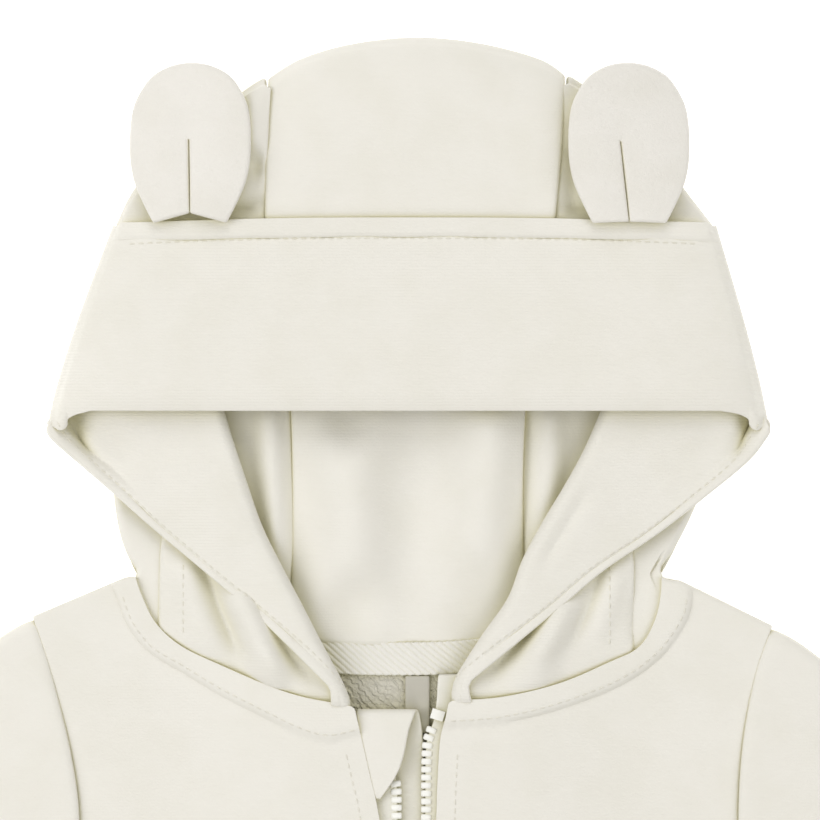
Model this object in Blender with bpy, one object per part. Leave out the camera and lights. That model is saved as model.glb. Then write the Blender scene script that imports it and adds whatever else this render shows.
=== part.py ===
"""Hooded zip jacket for a baby, size 62, laid flat on its back.

X runs across the jacket, Y up to the crown of its hood and Z up from the table.
Tables and sizes are in millimetres. Every cloth piece is a grid of points in the
middle of its wall, which a Solidify modifier makes into a closed solid.
"""

import math
from collections import namedtuple

import bmesh
import bpy
import numpy as np

MM = 0.001
SEAM = 0.3  # gap between two pieces where they are sewn
LEFT, RIGHT = -1, 1

# ---- cloth ----
FLEECE = 2.0
BAND = 3.0  # the hood's front band is double
EAR = 3.4
TAPE = 1.0  # woven tapes, label and the strip behind the zip

# ---- heights of the middle of each layer above the table ----
TABLE_LAYER = 1.0  # back, lower half of the sleeves, inside of the hood
FRONT_LAYER = 3.4  # fronts and the lower sides of the hood, away from the zip
FRONT_LIFT = 3.4  # the fronts rise by this much over the zip
LIFT_FLAT = 25.0  # half width of that rise
LIFT_RUN = 50.0  # how far out it fades
BAND_FOLD = 3.4  # from one layer of the folded band to the next
HOOD_REACH = {LEFT: 92.5, RIGHT: 98.5}  # the hood's sides carry the band this far out
BAND_DROP = 9.0  # beyond them it sinks to the table over this length
ROOF = 14.0  # top of the hood
ROOF_RUN = 9.0  # how fast the top rises from its edge
SIDE_STEP = 1.0  # the side panels lie this much under the centre panel
BAND_STEP = 0.6  # the band lies this much over it
ZIP_LAYER = 5.05

# ---- zip ----
ZIP_X = 2.1
TOOTH_PITCH_X = 2.4  # between the two rows when closed
TOOTH_ROW = 2.1  # width of one row
TOOTH_THICK = 1.9
CLOSED_EDGE = 4.5  # front edge to zip centre where the zip is closed
HEM_Y = -244.0

# ---- how finely the cloth is divided ----
ARMHOLE_ROWS, SEAM_ROWS = 10, 5  # down the side of the body
BACK_COLUMNS, SHOULDER_COLUMNS, FRONT_COLUMNS = 17, 4, 9
SLEEVE_RINGS = 12
CENTRE_COLUMNS, CENTRE_ROWS, CENTRE_TOP_ROWS = 11, 11, 7
SIDE_UPPER_ROWS, SIDE_COLUMNS = 8, 7
SIDE_NECK_CELLS = 4  # of a front's neckline, along the hood's side panel
SECTION_ROWS = 15  # of the band, from the neck to its corner
FLAT_CELLS, FOLD_CELLS, BACK_CELLS = 7, 4, 6  # across the band
TURN_CELLS = 4  # round a folded edge
TOP_ROWS = 12  # along the band's top
EAR_ROWS, EAR_COLUMNS = 23, 5
ZIP_ROWS = 15  # down the open part of the zip
ZIP_CLOSED_ROWS = 4  # and down the closed part
STRIP_LINES = 5  # across the strip behind it
ARC_CELLS = 8  # round the arcs of the bail and the pull
BAND_END_POINTS = 9  # along the band's folded edge, where the roof starts
SPLINE_STEPS = 16  # between two points of a table
FINE = 200  # points of a line that is only read or divided again

Point = namedtuple("Point", "x y")
Rim = namedtuple("Rim", "x y edge")
Section = namedtuple("Section", "seam_x seam_y fold_x fold_y edge_x edge_y")
Reach = namedtuple("Reach", "height half_width")
Strip = namedtuple("Strip", "y left right left_layer right_layer")

# Where the band's folded edge starts at its seam and ends at its corner.
BAND_TOP_END = {LEFT: Point(-87.0, 186.5), RIGHT: Point(94.0, 186.5)}
BAND_CORNER = {LEFT: Point(-106.5, 127.5), RIGHT: Point(109.8, 127.5)}
BAND_TURN = 3.9  # from the band's lower layer to its top layer at that edge

# Outline of the crown between those edges. edge is the height of the top layer
# just inside.
CROWN_OUTLINE = [
    Rim(-81.0, 199.0, 8.0),
    Rim(-68.4, 213.6, 6.8),
    Rim(-50.4, 226.0, 6.0),
    Rim(-40.5, 231.6, 6.0),
    Rim(-30.9, 237.6, 6.0),
    Rim(-15.9, 242.1, 6.0),
    Rim(3.6, 244.2, 6.0),
    Rim(23.1, 242.4, 6.0),
    Rim(41.1, 237.6, 6.0),
    Rim(48.6, 232.5, 6.0),
    Rim(59.1, 226.0, 6.0),
    Rim(74.1, 213.6, 6.8),
    Rim(84.3, 199.5, 8.0),
]

# Side panels: outline from the crown to the point where the band's seam turns under,
# and from there down to the shoulder.
SIDE_UPPER = {
    LEFT: [
        Point(-41.2, 230.9),
        Point(-50.4, 225.9),
        Point(-68.4, 213.6),
        Point(-81.0, 198.9),
        Point(-87.0, 186.9),
    ],
    RIGHT: [
        Point(49.3, 231.6),
        Point(59.1, 225.9),
        Point(74.1, 213.6),
        Point(84.3, 199.5),
        Point(94.0, 186.9),
    ],
}
SIDE_LOWER = {
    LEFT: [
        Point(-87.0, 186.9),
        Point(-88.6, 174.0),
        Point(-89.2, 156.0),
        Point(-89.4, 135.0),
        Point(-88.6, 120.0),
        Point(-86.4, 99.0),
        Point(-83.4, 88.5),
        Point(-79.8, 82.8),
    ],
    RIGHT: [
        Point(94.0, 186.9),
        Point(95.4, 174.0),
        Point(95.8, 156.0),
        Point(95.4, 135.0),
        Point(93.4, 120.0),
        Point(89.1, 105.0),
        Point(82.4, 91.0),
        Point(77.0, 83.4),
    ],
}

# Edges of the hood's centre panel, from the back of the neck up to the crown and
# then forward on top to the band.
CENTRE_BACK = {
    LEFT: [Point(-33.9, 63.2), Point(-33.9, 132.0), Point(-40.5, 231.6)],
    RIGHT: [Point(36.9, 64.2), Point(36.9, 132.0), Point(48.6, 232.5)],
}
CENTRE_TOP = {
    LEFT: [Point(-40.5, 231.6), Point(-41.1, 210.0), Point(-41.4, 188.4)],
    RIGHT: [Point(48.6, 232.5), Point(47.7, 210.0), Point(45.6, 188.4)],
}
# Seam of the band on top.
BAND_SEAM = [
    Point(-87.0, 186.9),
    Point(-41.4, 188.4),
    Point(3.0, 188.7),
    Point(45.6, 188.4),
    Point(94.0, 186.9),
]

# The band below the hood's top, from the neck up to the corner: where it is sewn to
# the side panel, where it folds back and where its front edge lies.
BAND_SECTIONS = {
    LEFT: [
        Section(-73.2, 66.2, -16.5, 44.6, -15.9, 44.3),
        Section(-72.9, 75.0, -25.5, 61.5, -31.5, 59.4),
        Section(-72.6, 84.0, -30.9, 72.0, -44.4, 71.4),
        Section(-72.0, 93.0, -36.9, 83.4, -60.9, 85.2),
        Section(-69.3, 103.5, -43.5, 96.6, -75.9, 97.8),
        Section(-65.1, 114.0, -48.3, 110.4, -87.9, 108.6),
        Section(-61.5, 124.5, -52.5, 123.0, -98.4, 117.6),
        Section(-62.4, 136.0, -56.4, 135.5, -104.4, 123.0),
        Section(-68.4, 151.5, -63.4, 152.5, -106.0, 125.4),
        Section(-75.9, 168.0, -71.2, 169.5, -106.4, 126.8),
        Section(-81.8, 178.5, -77.6, 180.0, -106.5, 127.2),
    ],
    RIGHT: [
        Section(68.7, 60.3, 13.9, 46.5, 13.2, 46.4),
        Section(68.7, 69.0, 24.3, 63.0, 30.0, 59.7),
        Section(68.7, 78.0, 32.7, 75.0, 47.1, 73.5),
        Section(68.7, 87.0, 36.9, 86.4, 59.1, 83.7),
        Section(66.9, 97.5, 43.2, 98.1, 75.6, 94.8),
        Section(64.8, 108.0, 48.9, 107.4, 89.1, 105.3),
        Section(62.4, 120.0, 55.5, 119.4, 102.6, 116.4),
        Section(68.2, 136.0, 62.4, 135.5, 107.8, 123.0),
        Section(74.1, 151.5, 69.2, 152.5, 109.3, 125.4),
        Section(82.6, 168.0, 78.2, 169.5, 109.7, 126.8),
        Section(88.9, 178.5, 85.0, 180.0, 109.8, 127.2),
    ],
}
# Front edge of the band on top, from the left corner to the right one.
BAND_FRONT = [
    Point(-106.5, 127.5),
    Point(-102.9, 130.2),
    Point(-96.9, 131.6),
    Point(-88.0, 132.0),
    Point(2.0, 132.1),
    Point(92.0, 132.0),
    Point(101.0, 131.4),
    Point(106.5, 130.0),
    Point(109.8, 127.5),
]

# Seams of the body.
NECK_FRONT = {
    LEFT: [
        Point(-80.4, 81.6),
        Point(-78.6, 76.5),
        Point(-74.4, 68.1),
        Point(-66.9, 61.2),
        Point(-54.9, 55.5),
        Point(-42.9, 50.4),
        Point(-30.9, 46.2),
        Point(-14.6, 43.2),
    ],
    RIGHT: [
        Point(77.7, 82.2),
        Point(77.5, 76.5),
        Point(75.8, 69.0),
        Point(71.1, 60.8),
        Point(62.1, 56.4),
        Point(47.1, 50.1),
        Point(29.1, 45.9),
        Point(13.8, 45.0),
    ],
}
NECK_BACK = [
    Point(-80.4, 81.6),
    Point(-62.0, 72.0),
    Point(-45.0, 65.4),
    Point(-22.0, 61.9),
    Point(0.0, 61.2),
    Point(22.0, 62.2),
    Point(45.0, 66.2),
    Point(62.0, 73.0),
    Point(77.7, 82.2),
]
SHOULDER_TIP = {LEFT: Point(-111.6, 68.4), RIGHT: Point(111.3, 65.6)}
ARMHOLE = {
    LEFT: [
        Point(-111.6, 68.4),
        Point(-105.9, 51.0),
        Point(-100.4, 29.0),
        Point(-97.8, 9.0),
        Point(-99.4, -8.0),
        Point(-105.0, -23.0),
        Point(-116.0, -37.0),
        Point(-131.0, -50.0),
    ],
    RIGHT: [
        Point(111.3, 65.6),
        Point(106.2, 51.0),
        Point(102.6, 31.0),
        Point(101.4, 9.0),
        Point(102.8, -8.0),
        Point(107.5, -23.0),
        Point(117.5, -37.0),
        Point(131.0, -50.0),
    ],
}
HEM_HALF = 133.0
SLEEVE_OUTER = [
    Point(111.6, 68.4),
    Point(121.5, 63.2),
    Point(143.0, 45.0),
    Point(171.0, 7.0),
    Point(206.0, -52.0),
    Point(240.0, -110.0),
]
SLEEVE_INNER = [
    Point(131.0, -50.0),
    Point(142.0, -54.5),
    Point(150.5, -70.0),
    Point(159.0, -99.0),
    Point(172.0, -143.0),
]

# Edge of each front along the zip and the middle of each row of teeth.
FRONT_EDGE = {
    LEFT: [
        Point(-14.6, 43.2),
        Point(-12.9, 35.7),
        Point(-9.9, 22.5),
        Point(-8.1, 15.0),
        Point(-6.2, 4.0),
        Point(-4.2, -10.0),
        Point(ZIP_X - CLOSED_EDGE, -26.0),
    ],
    RIGHT: [
        Point(13.8, 45.0),
        Point(12.6, 39.0),
        Point(11.1, 33.0),
        Point(10.2, 18.0),
        Point(9.9, 9.0),
        Point(8.4, -8.0),
        Point(ZIP_X + CLOSED_EDGE, -26.0),
    ],
}
TOOTH_LINE = {
    LEFT: [
        Point(-8.2, 39.0),
        Point(-5.0, 30.0),
        Point(-2.3, 20.0),
        Point(-2.0, 9.0),
        Point(-1.5, -5.0),
        Point(-0.7, -17.0),
        Point(0.1, -26.0),
        Point(ZIP_X - TOOTH_PITCH_X / 2, -33.0),
    ],
    RIGHT: [
        Point(10.6, 46.0),
        Point(9.8, 39.5),
        Point(8.3, 35.0),
        Point(7.3, 31.0),
        Point(7.05, 20.0),
        Point(7.0, 9.0),
        Point(6.2, -5.0),
        Point(5.0, -17.0),
        Point(4.1, -26.0),
        Point(ZIP_X + TOOTH_PITCH_X / 2, -33.0),
    ],
}
NECK_TAPE_HALF, NECK_TAPE_WIDTH = 50.0, 9.0
LABEL_LEFT, LABEL_RIGHT, LABEL_TOP, LABEL_END = 0.6, 8.1, 52.0, 34.5
TAPE_LAYER = TABLE_LAYER + FLEECE / 2 + SEAM + TAPE / 2  # on the inside of the back
ZIP_TOP = {LEFT: 39.0, RIGHT: 53.0}  # where each tape ends at the neck
TAPE_WIDTH = 11.0  # from the middle of the teeth to the tape's hidden edge
TAPE_LEAN = 0.2  # how far out its end lies at the neck
TAPE_HEM = 2.0  # where it ends above the hem
BEAD_STEP = 0.4  # over which the bead of teeth thins to the tape

# Strip behind the zip: up its length, over the zip's end and down to a point, with
# the heights of its two edges.
UNDERLAP = [
    Strip(HEM_Y, -13.0, 8.0, 2.62, 2.62),
    Strip(-120.0, -13.0, 8.0, 2.62, 2.62),
    Strip(-30.0, -13.0, 7.2, 2.62, 2.62),
    Strip(0.0, -13.0, 3.6, 2.62, 2.62),
    Strip(12.0, -13.0, 2.8, 2.62, 2.7),
    Strip(22.0, -13.0, 3.3, 2.62, 3.6),
    Strip(30.0, -12.6, 5.2, 2.62, 4.3),
    Strip(35.5, -12.4, 6.0, 2.62, 4.5),
    Strip(40.6, -12.2, 5.0, 2.7, 4.5),
]
FLAP = [
    Strip(40.2, -12.2, 3.4, 7.6, 8.0),
    Strip(36.0, -11.6, 1.6, 7.6, 8.0),
    Strip(30.0, -10.4, 0.8, 7.5, 7.9),
    Strip(24.0, -9.4, -0.8, 7.4, 7.7),
    Strip(19.0, -8.6, -4.0, 7.3, 7.5),
    Strip(15.0, -7.9, -7.1, 7.3, 7.3),
]
FLAP_FOLD = 1.4  # the strip's fold rises this far past its last row

# Ears: half the width at heights above the band's seam, and where they stand.
EAR_REACH = [
    Reach(0.0, 10.9),
    Reach(6.0, 14.0),
    Reach(12.0, 16.6),
    Reach(18.0, 17.9),
    Reach(24.0, 18.2),
    Reach(30.0, 18.0),
    Reach(36.0, 16.9),
    Reach(42.0, 13.7),
    Reach(45.2, 10.6),
    Reach(47.6, 5.6),
    Reach(48.4, 0.0),
]
EAR_X = {LEFT: -63.4, RIGHT: 67.4}
EAR_BASE_Y = 187.6
EAR_SLIT = {LEFT: (3.0, 25.6), RIGHT: (0.4, 25.0)}  # bottom and top of the tuck
EAR_SLIT_X = {LEFT: -0.4, RIGHT: -2.8}
EAR_SLIT_GAP = 0.25
EAR_PARTED = 0.3  # share of the outline beside the tuck on each side
EAR_CLEAR = 3.9  # middle of the ear above the middle of the roof
EAR_EDGE = 0.5  # share of the thickness that is left at the outline
EAR_BESIDE_EDGE = 0.8  # how much of the rest is there just inside it
EAR_LIFT = 7.0  # how far inside the outline the roof is read for the ear

# Slider and pull.
SLIDER_TOP_Y, SLIDER_END_Y = -26.6, -35.2
SLIDER_HALF_TOP, SLIDER_HALF_END = 4.0, 3.5
SLIDER_SHOULDER, SLIDER_CORNER = 2.0, 1.2  # bevel of its top corners, along and across
WEDGE_TOP, WEDGE_END, WEDGE_HALF = 0.2, 2.6, 0.55
SUNK = 0.2  # how deep parts that are united reach into each other
PLATE = 0.6
PLATE_GAP = 2.2
HINGE_Y = -30.6
BAIL_HALF = 2.3
BAIL_WIDTH = 1.5
BAIL_WIRE = 0.7
BAIL_RISE = 1.9
PULL_LENGTH = 22.0
PULL_HALF = 2.9
PULL_TAPER = 0.8  # width at its bar, as a share
PULL_THICK = 1.0
PULL_BAR = 1.1
PULL_WINDOW = 4.2
PULL_ARM_X = 1.4

Look = namedtuple("Look", "colour roughness metallic")
LOOKS = {
    "fleece": Look((0.84, 0.82, 0.74), 0.92, 0.0),
    "ear_cloth": Look((0.80, 0.78, 0.71), 0.95, 0.0),
    "tape": Look((0.85, 0.83, 0.77), 0.85, 0.0),
    "label": Look((0.62, 0.60, 0.53), 0.80, 0.0),
    "zip_tape": Look((0.83, 0.81, 0.75), 0.80, 0.0),
    "zip_metal": Look((0.80, 0.78, 0.72), 0.40, 0.1),
}


# ---- curves and grids ----


def spline(points, count):
    """A smooth curve through the points, as count points evenly spaced along it."""
    knots = np.array([list(point) for point in points], float)
    padded = np.vstack([2 * knots[0] - knots[1], knots, 2 * knots[-1] - knots[-2]])
    samples = []
    for index in range(len(knots) - 1):
        before, start, end, after = padded[index : index + 4]
        for t in np.linspace(0.0, 1.0, SPLINE_STEPS, endpoint=False):
            samples.append(
                0.5
                * (
                    2 * start
                    + (end - before) * t
                    + (2 * before - 5 * start + 4 * end - after) * t**2
                    + (3 * start - before - 3 * end + after) * t**3
                )
            )
    samples.append(knots[-1])
    return spread(np.array(samples), count)


def spread(points, count):
    """The same line with count points evenly spaced along it."""
    points = np.asarray(points, float)
    whole = np.sum(np.linalg.norm(np.diff(points, axis=0), axis=1))
    return at_lengths(points, np.linspace(0.0, whole, count))


def straight(start, end, count):
    return spread([tuple(start), tuple(end)], count)


def inset(line, distance):
    """A parallel line at the given distance to the left of a line."""
    line = np.asarray(line, float)
    way = np.diff(line, axis=0)
    way /= np.linalg.norm(way, axis=1)[:, None]
    before, after = np.vstack([way[:1], way]), np.vstack([way, way[-1:]])
    middle = (before + after) / np.linalg.norm(before + after, axis=1)[:, None]
    stretch = distance / np.sum(middle * after, axis=1)
    return line + np.column_stack([-middle[:, 1], middle[:, 0]]) * stretch[:, None]


def at_lengths(line, lengths):
    """The points that lie at the given lengths along a line."""
    steps = np.linalg.norm(np.diff(line, axis=0), axis=1)
    along = np.concatenate([[0.0], np.cumsum(steps)])
    return np.column_stack([np.interp(lengths, along, column) for column in line.T])


def patch_between(first_row, last_row, first_column, last_column):
    """A grid that meets four lines. Rows run from the first row to the last."""
    columns, rows = len(first_row), len(first_column)
    across = np.linspace(0.0, 1.0, columns)[None, :, None]
    down = np.linspace(0.0, 1.0, rows)[:, None, None]
    corners = (
        (1 - down) * ((1 - across) * first_row[0] + across * first_row[-1])
        + down * ((1 - across) * last_row[0] + across * last_row[-1])
    )
    ruled = (1 - down) * first_row[None] + down * last_row[None]
    crossed = (1 - across) * first_column[:, None] + across * last_column[:, None]
    return ruled + crossed - corners


def smooth_step(value):
    value = np.clip(value, 0.0, 1.0)
    return value * value * (3 - 2 * value)


def with_height(plan, height):
    """Points with the heights that a number, an array or a function gives."""
    plan = np.asarray(plan, float)[..., :2]
    if callable(height):
        height = height(plan[..., 0], plan[..., 1])
    height = np.broadcast_to(height, plan.shape[:-1])
    return np.concatenate([plan, height[..., None]], axis=-1)


# ---- heights ----


def front_height(x, _y):
    """Middle of the fronts and of the hood's lower sides, which rise over the zip."""
    lift = smooth_step((LIFT_FLAT + LIFT_RUN - abs(x - ZIP_X)) / LIFT_RUN)
    return FRONT_LAYER + FRONT_LIFT * lift


def band_low_height(x, y):
    """Middle of the band where it lies on the side panel."""
    return front_height(x, y) + (BAND - FLEECE) / 2


def band_back_height(x, y):
    """Middle of the band where it is folded back over itself, down to the table."""
    reach = np.where(x < 0, HOOD_REACH[LEFT], HOOD_REACH[RIGHT])
    share = smooth_step((reach + BAND_DROP - abs(x)) / BAND_DROP)
    table = BAND / 2 + SEAM
    return table + share * (band_low_height(x, y) + BAND_FOLD - table)


def hood_outline():
    """Outline of the hood's top layer from corner to corner, with its edge heights."""
    ends = []
    for side in (LEFT, RIGHT):
        plan = straight(BAND_CORNER[side], BAND_TOP_END[side], BAND_END_POINTS)
        inner = plan - np.array([side * BAND / 2, 0.0])
        low = band_back_height(*inner.T)
        ends.append(with_height(plan, low + BAND_TURN - BAND_STEP))
    return np.vstack([ends[0], np.array(CROWN_OUTLINE), ends[1][::-1]])


def roof_height(x, y, deeper=0.0):
    """Middle of the hood's top layer, a soft rise from its outline."""
    outline = hood_outline()
    x, y = np.asarray(x, float), np.asarray(y, float)
    point = np.stack([x, y], axis=-1)[..., None, :]
    start, way = outline[:-1, :2], np.diff(outline[:, :2], axis=0)
    share = np.sum((point - start) * way, axis=-1) / np.sum(way * way, axis=-1)
    share = np.clip(share, 0.0, 1.0)
    nearest = start + share[..., None] * way
    gap = point - nearest
    distance = np.linalg.norm(gap, axis=-1)
    best = np.argmin(distance, axis=-1)[..., None]
    edge = outline[:-1, 2] + share * np.diff(outline[:, 2])
    side = way[:, 0] * gap[..., 1] - way[:, 1] * gap[..., 0]
    signed = np.where(side < 0, distance, -distance)
    depth = np.maximum(np.take_along_axis(signed, best, -1)[..., 0] + deeper, 0.0)
    low = np.take_along_axis(edge, best, -1)[..., 0]
    return low + (ROOF - low) * (1 - np.exp(-depth / ROOF_RUN))


def side_top_height(x, y):
    return roof_height(x, y) - SIDE_STEP


def band_top_height(x, y):
    return roof_height(x, y) + BAND_STEP


# ---- solids ----


def material(name):
    """The named material, made once."""
    if name in bpy.data.materials:
        return bpy.data.materials[name]
    look = LOOKS[name]
    made = bpy.data.materials.new(name)
    made.use_nodes = True
    shader = made.node_tree.nodes["Principled BSDF"]
    shader.inputs["Base Color"].default_value = (*look.colour, 1.0)
    shader.inputs["Roughness"].default_value = look.roughness
    shader.inputs["Metallic"].default_value = look.metallic
    made.diffuse_color = (*look.colour, 1.0)
    return made


def link(name, mesh, cloth):
    body = bpy.data.objects.new(name, mesh)
    body.data.materials.append(material(cloth))
    bpy.context.scene.collection.objects.link(body)
    mesh.shade_smooth()
    return body


def add_grid(shell, points, weights, ring=False):
    """Faces between neighbouring points of a grid of rows."""
    layer = shell.verts.layers.deform.verify()
    corners = []
    for row, row_weights in zip(points, weights):
        line = []
        for point, weight in zip(row, row_weights):
            corner = shell.verts.new([value * MM for value in point])
            corner[layer][0] = float(weight)
            line.append(corner)
        corners.append(line)
    columns = len(corners[0])
    last = columns if ring else columns - 1
    for row in range(len(corners) - 1):
        for column in range(last):
            following = (column + 1) % columns
            shell.faces.new(
                (
                    corners[row][column],
                    corners[row][following],
                    corners[row + 1][following],
                    corners[row + 1][column],
                )
            )


def sheet(name, grids, wall, cloth, ring=False, thin=1.0, weights=None):
    """A closed wall of cloth on one or more grids that share their edges.

    Where weights are 0 the wall is thin times its full thickness.
    """
    shell = bmesh.new()
    for index, grid in enumerate(grids):
        full = np.ones(grid.shape[:2]) if weights is None else weights[index]
        add_grid(shell, grid, full, ring)
    bmesh.ops.remove_doubles(shell, verts=shell.verts, dist=0.004 * MM)
    bmesh.ops.recalc_face_normals(shell, faces=shell.faces)
    mesh = bpy.data.meshes.new(name)
    shell.to_mesh(mesh)
    shell.free()
    body = link(name, mesh, cloth)
    body.vertex_groups.new(name="full")
    thicken = body.modifiers.new("wall", "SOLIDIFY")
    thicken.thickness = wall * MM
    thicken.offset = 0.0
    if weights is not None:
        thicken.vertex_group = "full"
        thicken.thickness_vertex_group = thin
    return body


def half_turn(edge, inward, low, high, reach):
    """Rows of points that turn from the low layer to the high one round an edge.

    edge is the outermost line of the wall's middle, inward points away from it and
    reach is how far the turn stretches inward. The first row is the low one.
    """
    rows = []
    for angle in np.linspace(-math.pi / 2, math.pi / 2, TURN_CELLS + 1):
        plan = edge + inward * (reach * (1 - math.cos(angle)))[:, None]
        height = (low + high) / 2 + (high - low) / 2 * math.sin(angle)
        rows.append(with_height(plan, height))
    return rows


def inward_of(line, side):
    """Unit vectors square to a line, towards the middle of the jacket."""
    way = np.gradient(line, axis=0)
    way /= np.linalg.norm(way, axis=1)[:, None]
    square = np.column_stack([-way[:, 1], way[:, 0]])
    return square * side


# ---- body ----

SLEEVE_LOFT, SLEEVE_RISE = 2.6, 1.8  # between its layers at the folds, more between
SLEEVE_TIP = 2.2  # reach of the folds along its sides
NECK_TUCK = 3.0  # where the band's fold starts, at its end on the neckline
BACK_GAP = 0.48  # between the neckline and the back, which the tape covers


def neckline(side):
    """Corners of a front's edge: along the side panel, the band and its fold."""
    line = spline(NECK_FRONT[side], FINE)
    steps = np.linalg.norm(np.diff(line, axis=0), axis=1)
    along = np.concatenate([[0.0], np.cumsum(steps)])
    seam = np.interp(-abs(BAND_SECTIONS[side][0].seam_x), -abs(line[:, 0]), along)
    fold = along[-1] - NECK_TUCK
    beside = np.linspace(0.0, seam, SIDE_NECK_CELLS + 1)
    below = np.linspace(seam, fold, FLAT_CELLS + 1)
    return at_lengths(line, np.concatenate([beside, below[1:], along[-1:]]))


def hood_neckline(side):
    """The same line on the hood's side of the seam."""
    return inset(neckline(side), -side * SEAM)


def side_edge(side, armhole_rows, seam_rows):
    """Outer edge of a body panel from the shoulder tip to the hem."""
    armhole = spread(spline(ARMHOLE[side], ARMHOLE_ROWS), armhole_rows)
    seam = straight(ARMHOLE[side][-1], (side * HEM_HALF, HEM_Y), seam_rows)
    return np.vstack([armhole, seam[1:]])


def back():
    """Rows run from the shoulders and the neck to the hem."""
    left = straight(SHOULDER_TIP[LEFT], NECK_BACK[0], SHOULDER_COLUMNS)
    right = straight(NECK_BACK[-1], SHOULDER_TIP[RIGHT], SHOULDER_COLUMNS)
    neck = inset(spline(NECK_BACK, BACK_COLUMNS), -BACK_GAP)
    top = np.vstack([left[:-1], neck, right[1:]])
    hem = straight((-HEM_HALF, HEM_Y), (HEM_HALF, HEM_Y), len(top))
    left_edge = side_edge(LEFT, ARMHOLE_ROWS, SEAM_ROWS)
    right_edge = side_edge(RIGHT, ARMHOLE_ROWS, SEAM_ROWS)
    plan = patch_between(top, hem, left_edge, right_edge)
    return [with_height(plan, TABLE_LAYER)]


def front(side):
    """Rows run from the armhole and side seam to the neck and the zip."""
    neck = neckline(side)
    edge = spline(FRONT_EDGE[side], 2 * ARMHOLE_ROWS - len(neck))
    closed = straight(FRONT_EDGE[side][-1], (FRONT_EDGE[side][-1].x, HEM_Y), SEAM_ROWS)
    inner = np.vstack([neck, edge[1:], closed[1:]])
    outer = side_edge(side, 2 * ARMHOLE_ROWS - 1, SEAM_ROWS)
    shoulder = straight(outer[0], inner[0], FRONT_COLUMNS)
    hem = straight(outer[-1], inner[-1], FRONT_COLUMNS)
    plan = patch_between(shoulder, hem, outer, inner)
    return [with_height(plan, front_height)]


def sleeve(side):
    """A flat tube from the armhole to the cuff."""
    mirror = np.array([side, 1.0])
    clear = np.full(ARMHOLE_ROWS, SEAM)
    clear[-1] += FLEECE / 2  # room for the fold at the underarm
    cap = inset(spline(ARMHOLE[side], ARMHOLE_ROWS), side * clear)
    cap[0] += (cap[1] - cap[0]) / np.linalg.norm(cap[1] - cap[0]) * FLEECE / 2
    start, end = np.array(SLEEVE_OUTER[0]), np.array(SLEEVE_INNER[0])
    fade = np.linspace(1.0, 0.0, SLEEVE_RINGS)[:, None]
    outer = spline(SLEEVE_OUTER, SLEEVE_RINGS) + fade * (cap[0] * mirror - start)
    inner = spline(SLEEVE_INNER, SLEEVE_RINGS) + fade * (cap[-1] * mirror - end)
    cuff = straight(outer[-1], inner[-1], ARMHOLE_ROWS) * mirror
    plan = patch_between(cap, cuff, outer * mirror, inner * mirror)
    across = np.linspace(0.0, 1.0, plan.shape[1])
    loft = SLEEVE_LOFT + SLEEVE_RISE * np.sin(math.pi * across)
    tube = []
    for line in with_height(plan, TABLE_LAYER + loft / 2):
        upper = line + np.outer(loft / 2, (0.0, 0.0, 1.0))
        lower = line - np.outer(loft / 2, (0.0, 0.0, 1.0))
        for layer in (upper, lower):
            for end, following in ((0, 1), (-1, -2)):
                way = line[following, :2] - line[end, :2]
                layer[end, :2] += way / np.linalg.norm(way) * SLEEVE_TIP
        tube.append(np.vstack([line[:1], upper, line[-1:], lower[::-1]]))
    return [np.array(tube)]


# ---- hood ----

CROWN_TURN = 2.5  # reach of the crown's fold
SIDE_TURN = 3.0  # reach of the fold along the side panels, at most
SEAM_START = 0.5  # a seam starts at least this far below the crown's fold
PARTED = 1.2  # the band's seam opens by this much where it turns under the crown
PARTED_FROM, PARTED_RUN = 130.0, 30.0
FOLD_REACH = 2.1  # where the band's fold starts, before its line
FOLD_SHARE = 0.6  # and at most this share of the width from seam to fold
BACK_TURN = 0.4  # the fold ends within this share of the part folded back
BAND_REACH = 2.2  # how far the band's turn at its folded edge stretches inward
STRIP_WIDTH = 5.6  # raised seam allowance along the band's seam on top
TOP_SHARES = [0.0, 0.02, 0.06, 0.13, 0.25, 0.42, 0.58, 0.75, 0.87, 0.94, 0.98, 1.0]


def between(points, left, right):
    """The points of a table that lie between two others, or on them."""
    return [point for point in points if left.x <= point.x <= right.x]


def centre_edge(table):
    """An edge of the centre panel that ends where the crown starts to turn."""
    line = np.array(table)
    crown = 0 if line[0, 1] > line[-1, 1] else -1
    line[crown, 1] -= FLEECE / 2 + CROWN_TURN
    return line


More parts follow.
